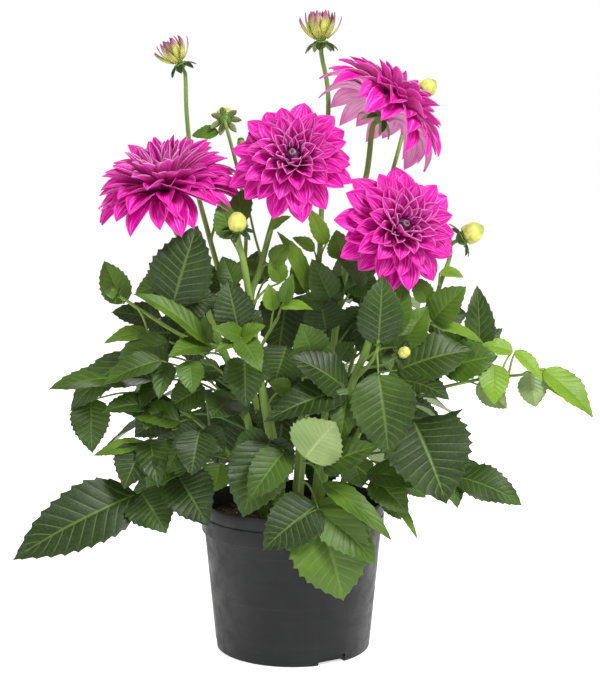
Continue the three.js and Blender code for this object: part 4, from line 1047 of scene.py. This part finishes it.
def box_object(size, centre, angle):
    spin = np.array(Matrix.Rotation(math.radians(angle), 3, "Z"))
    corners = [(x, y, z) for x in (-0.5, 0.5) for y in (-0.5, 0.5) for z in (-0.5, 0.5)]
    points = (np.array(corners) * size + centre) @ spin.T
    faces = [(0, 1, 3, 2), (4, 6, 7, 5), (0, 4, 5, 1), (2, 3, 7, 6), (0, 2, 6, 4), (1, 5, 7, 3)]
    return as_object("cutter", points, faces)


def cut(obj, cutters):
    for cutter in cutters:
        boolean = obj.modifiers.new("cut", "BOOLEAN")
        boolean.object = cutter
        boolean.operation = "DIFFERENCE"
        boolean.solver = "EXACT"
    depsgraph = bpy.context.evaluated_depsgraph_get()
    mesh = bpy.data.meshes.new_from_object(obj.evaluated_get(depsgraph))
    obj.modifiers.clear()
    obj.data = mesh
    for cutter in cutters:
        bpy.data.objects.remove(cutter)


def pot_piece():
    """A turned shell with a raised channel under its base, drain holes in the channel, and
    notches in its foot, each a window in the wall and a slot in the ring inside it."""
    rim, foot = POT_RIM_RADIUS, POT_FOOT_RADIUS
    near, far = CHANNEL_RADII
    profile = [
        [0, 0], [near - 3, 0], [near, CHANNEL_HEIGHT], [far, CHANNEL_HEIGHT], [far + 3, 0],
        [foot - 1.5, 0], [foot - 0.3, 0.5], [foot, 1.5],
        [rim - COLLAR_STEP, POT_COLLAR_LINE - 0.6], [rim - 2.7, POT_COLLAR_LINE],
        [rim - 0.5, POT_COLLAR_LINE + 0.8], [rim, POT_COLLAR_LINE + 1.7],
        [rim, POT_LIP_LINE - 0.5], [rim - 1, POT_LIP_LINE + 0.2],
        [rim - 1, POT_LIP_LINE + 1.2], [rim - 0.5, POT_LIP_LINE + 1.9],
        [rim - 0.3, POT_HEIGHT - 1.2], [rim - 0.8, POT_HEIGHT - 0.2],
        [rim - 1.6, POT_HEIGHT], [rim - 2.6, POT_HEIGHT - 0.3], [rim - 3, POT_HEIGHT - 1.4],
        [rim - COLLAR_STEP - POT_WALL - 0.4, POT_COLLAR_LINE - 1],
        [foot - POT_WALL - 0.4, 13], [foot - FOOT_RING_WIDTH, 11], [foot - FOOT_RING_WIDTH, BASE_TOP],
        [0, BASE_TOP],
    ]
    pot = lathe_object("nursery_pot", profile, POT_FACETS)
    window = (20, NOTCH_WIDTH, 2 * NOTCH_HEIGHT)
    slot = (30, NOTCH_WIDTH, 2 * CHANNEL_HEIGHT)
    cutters = []
    for angle in NOTCH_ANGLES:
        cutters.append(box_object(window, (foot - 2.8 + window[0] / 2, 0, 0), angle))
        cutters.append(box_object(slot, (far - 2 + slot[0] / 2, 0, 0), angle))
    low, high = CHANNEL_HEIGHT - 2, BASE_TOP + 1.5
    for i in range(DRAIN_HOLES):
        hole = lathe_object("cutter", [[0, low], [DRAIN_RADIUS, low], [DRAIN_RADIUS, high], [0, high]], 24)
        angle = math.radians(360 / DRAIN_HOLES * i)
        x, y = DRAIN_CIRCLE_RADIUS * math.cos(angle), DRAIN_CIRCLE_RADIUS * math.sin(angle)
        hole.location = (x * MM, y * MM, 0)
        cutters.append(hole)
    bpy.context.view_layer.update()
    cut(pot, cutters)
    pot.data.shade_smooth()
    pot.data.set_sharp_from_angle(angle=math.radians(40))
    return finish_piece(pot, pot_material, "pot", "pot")


def crumb(x, y):
    """Uneven soil surface, in mm."""
    return (
        0.9 * math.sin(0.21 * x + 1.3) * math.cos(0.17 * y - 0.4)
        + 0.6 * math.sin(0.47 * x - 0.35 * y)
        + 0.5 * math.sin(0.9 * x + 0.5) * math.sin(0.8 * y + 2)
    )


def soil_piece():
    """The fill: an uneven top a little below its solid's, with chips of bark and grit on it."""
    piece = Piece("compost")
    rings, sectors = 34, 96
    surface = SOIL_TOP - 3
    foot = BASE_TOP + 0.5
    side = POT_RIM_RADIUS - COLLAR_STEP - POT_WALL - 0.4
    foot_side = POT_FOOT_RADIUS - 5.6
    profile = [[0, foot], [foot_side, foot], [foot_side, 10.8],
               [POT_FOOT_RADIUS - POT_WALL - 1, 13.6], [side - 0.6, POT_COLLAR_LINE - 1]]
    profile += [[(side + 0.2) * (1 - i / rings), surface] for i in range(rings)]
    profile += [[0, surface]]

    def rough(local):
        flat = local[:, 2] > surface - 1
        local[flat, 2] += [crumb(x, y) for x, y in local[flat, :2]]
        return local

    turned(piece, profile, sectors, lambda p: p, 1, (0, 0.5, 0.5), rough)
    for i in range(SOIL_CHIPS):
        radius = (side - 6) * math.sqrt(scatter(i, 1))
        angle = 6.28 * scatter(i, 2)
        x, y = radius * math.cos(angle), radius * math.sin(angle)
        size = 0.8 + 2.2 * scatter(i, 3) ** 2
        stretch = (1 + 1.4 * scatter(i, 4), 1, 0.5)
        turn = np.array(Matrix.Rotation(6.28 * scatter(i, 5), 3, "Z") @ Matrix.Rotation(0.6, 3, "X"))
        centre = vec(x, y, surface + crumb(x, y) + 0.3 * size)

        def place(local, turn=turn, stretch=stretch, centre=centre):
            return (np.asarray(local) * stretch) @ turn.T + centre

        profile = [[0, -1], [0.7, -0.8], [1, 0], [0.6, 0.7], [0, 1]]
        turned(piece, profile, 6, place, size, (scatter(i, 6), 0.5, 0.5))
    return piece.build(soil_material, "soil", "soil")


# Materials


class Looks:
    """Short hand for building one material out of nodes."""

    def __init__(self, name):
        self.material = bpy.data.materials.new(name)
        self.material.use_nodes = True
        self.tree = self.material.node_tree
        self.tree.nodes.clear()
        self.output = self.add("ShaderNodeOutputMaterial")

    def add(self, kind, **settings):
        node = self.tree.nodes.new(kind)
        for key, value in settings.items():
            setattr(node, key, value)
        return node

    def feed(self, socket, value):
        if isinstance(value, bpy.types.NodeSocket):
            self.tree.links.new(value, socket)
        elif isinstance(value, tuple) and len(value) == 3 and len(socket.default_value) == 4:
            socket.default_value = (*value, 1)
        else:
            socket.default_value = value

    def math(self, operation, a, b=0.0, clamp=False):
        node = self.add("ShaderNodeMath", operation=operation, use_clamp=clamp)
        self.feed(node.inputs[0], a)
        self.feed(node.inputs[1], b)
        return node.outputs[0]

    def fade(self, value, low, high, start=0.0, end=1.0):
        """Smooth step from start to end while the value goes from low to high."""
        node = self.add("ShaderNodeMapRange", interpolation_type="SMOOTHSTEP")
        for socket, number in zip(node.inputs, (value, low, high, start, end)):
            self.feed(socket, number)
        return node.outputs[0]

    def blend(self, share, a, b):
        node = self.add("ShaderNodeMix", data_type="RGBA")
        self.feed(node.inputs[0], share)
        self.feed(node.inputs[6], a)
        self.feed(node.inputs[7], b)
        return node.outputs[2]

    def noise(self, place, scale, detail=3.0, roughness=0.55):
        node = self.add("ShaderNodeTexNoise")
        self.feed(node.inputs["Vector"], place)
        self.feed(node.inputs["Scale"], scale)
        self.feed(node.inputs["Detail"], detail)
        self.feed(node.inputs["Roughness"], roughness)
        return node.outputs["Fac"]

    def cells(self, place, scale):
        node = self.add("ShaderNodeTexVoronoi", feature="DISTANCE_TO_EDGE")
        self.feed(node.inputs["Vector"], place)
        self.feed(node.inputs["Scale"], scale)
        return node.outputs["Distance"]

    def place(self):
        return self.add("ShaderNodeTexCoord").outputs["Object"]

    def grain(self):
        """Way along a blade and way across it, each from 0 to 1."""
        node = self.add("ShaderNodeUVMap", uv_map="Grain")
        parts = self.add("ShaderNodeSeparateXYZ")
        self.feed(parts.inputs[0], node.outputs[0])
        return parts.outputs[0], parts.outputs[1]

    def from_midline(self, over):
        """Way from a blade's midline, 0, to either edge, 1."""
        return self.math("ABSOLUTE", self.math("MULTIPLY", self.math("SUBTRACT", over, 0.5), 2.0))

    def paint(self):
        node = self.add("ShaderNodeAttribute", attribute_name="paint")
        parts = self.add("ShaderNodeSeparateColor")
        self.feed(parts.inputs[0], node.outputs["Color"])
        return parts.outputs[0], parts.outputs[1], parts.outputs[2]

    def vector(self, x, y, z):
        node = self.add("ShaderNodeCombineXYZ")
        for socket, value in zip(node.inputs, (x, y, z)):
            self.feed(socket, value)
        return node.outputs[0]

    def stretched(self, x, x_scale, y, y_scale, z):
        """A place to read noise at, with its own scale along each of the first two ways."""
        return self.vector(self.math("MULTIPLY", x, x_scale), self.math("MULTIPLY", y, y_scale), z)

    def bump(self, height, strength, distance):
        node = self.add("ShaderNodeBump")
        self.feed(node.inputs["Height"], height)
        self.feed(node.inputs["Strength"], strength)
        self.feed(node.inputs["Distance"], distance)
        return node.outputs[0]

    def surface(self, colour, roughness, normal=None, through=None, share=0.0, **extra):
        """Principled surface, with a share of light let through in the colour named."""
        main = self.add("ShaderNodeBsdfPrincipled")
        self.feed(main.inputs["Base Color"], colour)
        self.feed(main.inputs["Roughness"], roughness)
        for key, value in extra.items():
            self.feed(main.inputs[key.replace("_", " ")], value)
        if normal:
            self.feed(main.inputs["Normal"], normal)
        result = main.outputs[0]
        if through is not None:
            glow = self.add("ShaderNodeBsdfTranslucent")
            self.feed(glow.inputs["Color"], through)
            both = self.add("ShaderNodeMixShader")
            self.feed(both.inputs[0], share)
            self.tree.links.new(result, both.inputs[1])
            self.tree.links.new(glow.outputs[0], both.inputs[2])
            result = both.outputs[0]
        self.tree.links.new(result, self.output.inputs["Surface"])
        return self.material


def make_leaf_material():
    looks = Looks("dahlia_leaf")
    along, over = looks.grain()
    kind, tone, clear = looks.paint()
    place = looks.place()
    out = looks.from_midline(over)
    is_blade = looks.fade(kind, 0.2, 0.3)
    is_under = looks.fade(kind, 0.7, 0.8)
    slant = looks.math("MULTIPLY", looks.math("POWER", out, 0.85), VEIN_SLANT)
    to_vein = looks.math("PINGPONG", looks.math("SUBTRACT", along, slant), 0.5)
    puff = looks.fade(to_vein, 0.0, 0.4)
    side_vein = looks.fade(to_vein, 0.015, 0.09, 1.0, 0.0)
    side_vein = looks.math("MULTIPLY", side_vein, looks.fade(out, 0.3, 1.0, 1.0, 0.25))
    midrib = looks.fade(out, 0.015, 0.07, 1.0, 0.0)
    shown = looks.math("MULTIPLY", clear, is_blade)
    vein = looks.math("MULTIPLY", looks.math("MAXIMUM", side_vein, midrib), shown)
    patches = looks.noise(place, 22.0, 4.0)
    specks = looks.noise(place, 420.0, 3.0)
    # The tone holds the leaves' painted backlight and painted shade.
    shade = looks.math("ADD", tone, looks.fade(patches, 0.3, 0.7, -0.12, 0.12), clamp=True)
    old_to_mid = looks.blend(looks.fade(shade, 0.0, 0.5), (0.010, 0.025, 0.003), (0.060, 0.125, 0.008))
    green = looks.blend(looks.fade(shade, 0.45, 0.95), old_to_mid, (0.21, 0.37, 0.02))
    green = looks.blend(looks.fade(specks, 0.35, 0.7, 0.0, 0.2), green, (0.09, 0.17, 0.02))
    upper = looks.blend(looks.math("MULTIPLY", vein, 0.38), green, (0.20, 0.33, 0.05))
    pale = looks.blend(looks.fade(patches, 0.3, 0.7), (0.17, 0.25, 0.08), (0.28, 0.37, 0.13))
    under = looks.blend(looks.math("MULTIPLY", vein, 0.6), pale, (0.36, 0.45, 0.2))
    blade = looks.blend(is_under, upper, under)
    stalk = looks.blend(tone, (0.075, 0.16, 0.02), (0.26, 0.38, 0.06))
    stalk = looks.blend(looks.fade(patches, 0.4, 0.75, 0.0, 0.35), stalk, (0.12, 0.11, 0.045))
    colour = looks.blend(is_blade, stalk, blade)
    net = looks.cells(place, 520.0)
    height = looks.math("ADD", looks.math("MULTIPLY", puff, is_blade), looks.fade(net, 0.0, 0.12, 0.0, 0.2))
    height = looks.math("ADD", height, looks.math("MULTIPLY", midrib, -0.8))
    height = looks.math("ADD", height, looks.math("MULTIPLY", specks, 0.3))
    roughness = looks.fade(patches, 0.3, 0.7, 0.38, 0.52)
    through = looks.blend(tone, (0.10, 0.24, 0.015), (0.36, 0.55, 0.05))
    share = looks.math("MULTIPLY", is_blade, 0.16)
    normal = looks.bump(height, 0.24, 0.001)
    return looks.surface(colour, roughness, normal, through, share, Specular_IOR_Level=0.36)


def make_petal_material():
    looks = Looks("dahlia_petal")
    along, over = looks.grain()
    is_under, rank, chance = looks.paint()
    spread = looks.math("MULTIPLY", chance, 37.0)
    streaks = looks.noise(looks.stretched(along, 2.2, over, 17.0, spread), 1.0, 4.0, 0.6)
    ribs = looks.noise(looks.stretched(along, 1.2, over, 34.0, spread), 1.0, 2.0)
    deep = looks.blend(looks.fade(rank, 0.2, 1.0), (0.50, 0.001, 0.25), (0.40, 0.001, 0.23))
    bright = looks.blend(looks.fade(rank, 0.2, 1.0), (0.86, 0.010, 0.50), (0.76, 0.02, 0.46))
    face = looks.blend(looks.fade(streaks, 0.35, 0.62), deep, bright)
    tip = looks.fade(along, 0.25, 0.9)
    lilac = looks.math("MULTIPLY", looks.fade(streaks, 0.5, 0.68), looks.math("MULTIPLY", tip, 0.7))
    face = looks.blend(lilac, face, (1.0, 0.33, 0.85))
    pink = looks.blend(looks.fade(streaks, 0.36, 0.62), (0.86, 0.22, 0.62), (0.98, 0.66, 0.88))
    back = looks.blend(looks.fade(rank, 0.08, 0.5, 0.0, 0.85), pink, (0.78, 0.03, 0.50))
    back = looks.blend(looks.fade(along, 0.72, 1.0, 0.0, 0.5), back, (0.80, 0.06, 0.52))
    colour = looks.blend(is_under, face, back)
    out = looks.from_midline(over)
    rim = looks.math("MULTIPLY", looks.fade(out, 0.7, 1.0), looks.fade(rank, 0.4, 0.9, 0.06, 0.8))
    colour = looks.blend(rim, colour, (0.93, 0.62, 0.88))
    base = looks.fade(along, 0.0, 0.3, 0.4, 0.0)
    colour = looks.blend(base, colour, (0.45, 0.004, 0.22))
    height = looks.math("ADD", looks.math("MULTIPLY", ribs, 0.8), looks.math("MULTIPLY", streaks, 0.5))
    through = looks.blend(is_under, (0.92, 0.02, 0.56), (0.92, 0.08, 0.60))
    normal = looks.bump(height, 0.5, 0.0009)
    return looks.surface(colour, 0.55, normal, through, 0.24, Specular_IOR_Level=0.2)


def make_heart_material():
    looks = Looks("dahlia_heart")
    along, over = looks.grain()
    _, rank, chance = looks.paint()
    specks = looks.noise(looks.place(), 900.0, 3.0)
    skin = looks.blend(rank, (0.035, 0.004, 0.028), (0.16, 0.008, 0.12))
    skin = looks.blend(looks.fade(specks, 0.4, 0.7, 0.0, 0.3), skin, (0.22, 0.03, 0.16))
    pale = looks.blend(chance, (0.50, 0.16, 0.42), (0.72, 0.58, 0.50))
    ridge = looks.fade(looks.math("PINGPONG", looks.math("MULTIPLY", over, 3.0), 0.5), 0.3, 0.5, 0.0, 0.35)
    share = looks.math("MAXIMUM", looks.fade(along, 0.7, 0.98, 0.0, 0.8), ridge)
    colour = looks.blend(share, skin, pale)
    normal = looks.bump(specks, 0.35, 0.0006)
    return looks.surface(colour, 0.48, normal, Specular_IOR_Level=0.35)


def make_bud_material():
    looks = Looks("dahlia_bud")
    along, over = looks.grain()
    purple, _, chance = looks.paint()
    spread = looks.math("MULTIPLY", chance, 19.0)
    streaks = looks.noise(looks.stretched(along, 2.0, over, 14.0, spread), 1.0, 4.0)
    patches = looks.noise(looks.place(), 90.0, 3.0)
    green = looks.blend(looks.fade(patches, 0.3, 0.7), (0.36, 0.44, 0.05), (0.66, 0.64, 0.12))
    green = looks.blend(looks.fade(streaks, 0.4, 0.7, 0.0, 0.5), green, (0.82, 0.78, 0.32))
    edge = looks.fade(looks.from_midline(over), 0.78, 1.0, 0.0, 0.55)
    green = looks.blend(edge, green, (0.22, 0.20, 0.03))
    tip = looks.math("MULTIPLY", looks.fade(along, 0.5, 0.95), purple)
    colour = looks.blend(tip, green, (0.30, 0.05, 0.20))
    normal = looks.bump(looks.math("ADD", streaks, looks.math("MULTIPLY", patches, 0.3)), 0.4, 0.0006)
    return looks.surface(colour, 0.42, normal, (0.55, 0.65, 0.1), 0.12, Specular_IOR_Level=0.4)


def make_pot_material():
    looks = Looks("pot_plastic")
    place = looks.place()
    grainy = looks.noise(place, 900.0, 2.0)
    patches = looks.noise(place, 14.0, 4.0)
    parts = looks.add("ShaderNodeSeparateXYZ")
    looks.feed(parts.inputs[0], place)
    height = looks.math("MULTIPLY", parts.outputs[2], 260.0)
    swirl = looks.noise(looks.stretched(parts.outputs[0], 6.0, parts.outputs[1], 6.0, height), 1.0, 3.0)
    dust = looks.noise(place, 60.0, 6.0, 0.7)
    plastic = looks.blend(looks.fade(patches, 0.3, 0.7), (0.006, 0.0065, 0.0065), (0.010, 0.0105, 0.0105))
    colour = looks.blend(looks.fade(dust, 0.58, 0.8, 0.0, 0.35), plastic, (0.045, 0.043, 0.038))
    colour = looks.blend(looks.fade(swirl, 0.5, 0.75, 0.0, 0.1), colour, (0.045, 0.046, 0.05))
    height = looks.math("ADD", looks.math("MULTIPLY", grainy, 0.5), looks.math("MULTIPLY", swirl, 0.5))
    roughness = looks.fade(dust, 0.35, 0.75, 0.36, 0.6)
    return looks.surface(colour, roughness, looks.bump(height, 0.08, 0.0005), Specular_IOR_Level=0.22)


def make_soil_material():
    looks = Looks("compost")
    place = looks.place()
    chip, _, _ = looks.paint()
    crumbs = looks.noise(place, 320.0, 6.0, 0.65)
    patches = looks.noise(place, 40.0, 4.0)
    dark = looks.blend(looks.fade(patches, 0.3, 0.7), (0.018, 0.011, 0.007), (0.045, 0.028, 0.017))
    brown = looks.blend(looks.fade(crumbs, 0.45, 0.7), dark, (0.11, 0.07, 0.042))
    bark = looks.blend(looks.fade(chip, 0.2, 0.8), (0.06, 0.034, 0.02), (0.16, 0.10, 0.06))
    colour = looks.blend(looks.fade(chip, 0.02, 0.1, 0.0, 0.7), brown, bark)
    white = looks.fade(chip, 0.95, 0.965)
    colour = looks.blend(white, colour, (0.6, 0.58, 0.53))
    return looks.surface(colour, 0.9, looks.bump(crumbs, 0.8, 0.002), Specular_IOR_Level=0.2)


def make_floor_material():
    looks = Looks("studio_floor")
    tint = looks.noise(looks.place(), 2.0, 2.0)
    colour = looks.blend(tint, (0.90, 0.90, 0.90), (0.92, 0.92, 0.92))
    return looks.surface(
        colour, 0.8, Specular_IOR_Level=0.1, Emission_Color=(1, 1, 1), Emission_Strength=FLOOR_GLOW
    )


leaf_material = make_leaf_material()
petal_material = make_petal_material()
heart_material = make_heart_material()
bud_material = make_bud_material()
pot_material = make_pot_material()
soil_material = make_soil_material()


# The plant and its pot

pot_piece()
soil_piece()
for number, (name, stem) in enumerate(STEMS.items()):
    stem_piece(name, stem, number)
for seed, (name, bloom) in enumerate(BLOOMS.items(), start=1):
    bloom_petals(name, bloom, seed)
    bloom_heart(name, bloom)
for name, bud in BUDS.items():
    if bud["kind"] != "green":
        piece = Piece(f"scales_{name}")
        bud_scales(piece, bud)
        piece.build(bud_material, "buds", "bud_" + name.replace("_bud", ""))


# Studio


def floor_plane():
    half = 6
    points = [(-half, -half, 0), (half, -half, 0), (half, half, 0), (-half, half, 0)]
    mesh = bpy.data.meshes.new("studio_floor")
    mesh.from_pydata([(x, y, -0.0004) for x, y, _ in points], [], [(0, 1, 2, 3)])
    floor = bpy.data.objects.new("studio_floor", mesh)
    floor.data.materials.append(make_floor_material())
    bpy.context.scene.collection.objects.link(floor)


def soft_light(name, place, aim, size, power):
    data = bpy.data.lights.new(name, "AREA")
    data.shape = "DISK"
    data.size = size
    data.energy = power
    lamp = bpy.data.objects.new(name, data)
    lamp.location = place
    lamp.rotation_euler = (Vector(aim) - Vector(place)).to_track_quat("-Z", "Y").to_euler()
    bpy.context.scene.collection.objects.link(lamp)


def studio():
    floor_plane()
    scene = bpy.context.scene
    world = bpy.data.worlds.new("studio")
    world.use_nodes = True
    nodes, links = world.node_tree.nodes, world.node_tree.links
    room = nodes["Background"]
    room.inputs["Color"].default_value = (1, 1, 1, 1)
    room.inputs["Strength"].default_value = ROOM_LIGHT
    backdrop = nodes.new("ShaderNodeBackground")
    backdrop.inputs["Color"].default_value = (1, 1, 1, 1)
    backdrop.inputs["Strength"].default_value = 1.0
    seen = nodes.new("ShaderNodeLightPath")
    both = nodes.new("ShaderNodeMixShader")
    links.new(seen.outputs["Is Camera Ray"], both.inputs[0])
    links.new(room.outputs[0], both.inputs[1])
    links.new(backdrop.outputs[0], both.inputs[2])
    links.new(both.outputs[0], nodes["World Output"].inputs["Surface"])
    scene.world = world
    scene.view_settings.view_transform = "Standard"
    middle = (0, 0, 0.38)
    soft_light("key", (1.0, -1.3, 2.0), middle, 0.8, 62)
    soft_light("fill", (-1.7, -1.2, 1.0), middle, 1.4, 12)
    soft_light("back", (-0.4, 1.8, 1.5), middle, 1.2, 16)


def camera():
    data = bpy.data.cameras.new("camera")
    data.sensor_fit = "VERTICAL"
    data.sensor_height = SENSOR_MM
    data.lens = SENSOR_MM * FOCAL_PX / IMAGE_HEIGHT_PX
    view = bpy.data.objects.new("camera", data)
    view.location = [c * MM for c in CAMERA_PLACE]
    view.rotation_euler = (math.pi / 2 - CAMERA_PITCH, 0, 0)
    bpy.context.scene.collection.objects.link(view)
    bpy.context.scene.camera = view


studio()
camera()

bpy.context.view_layer.update()
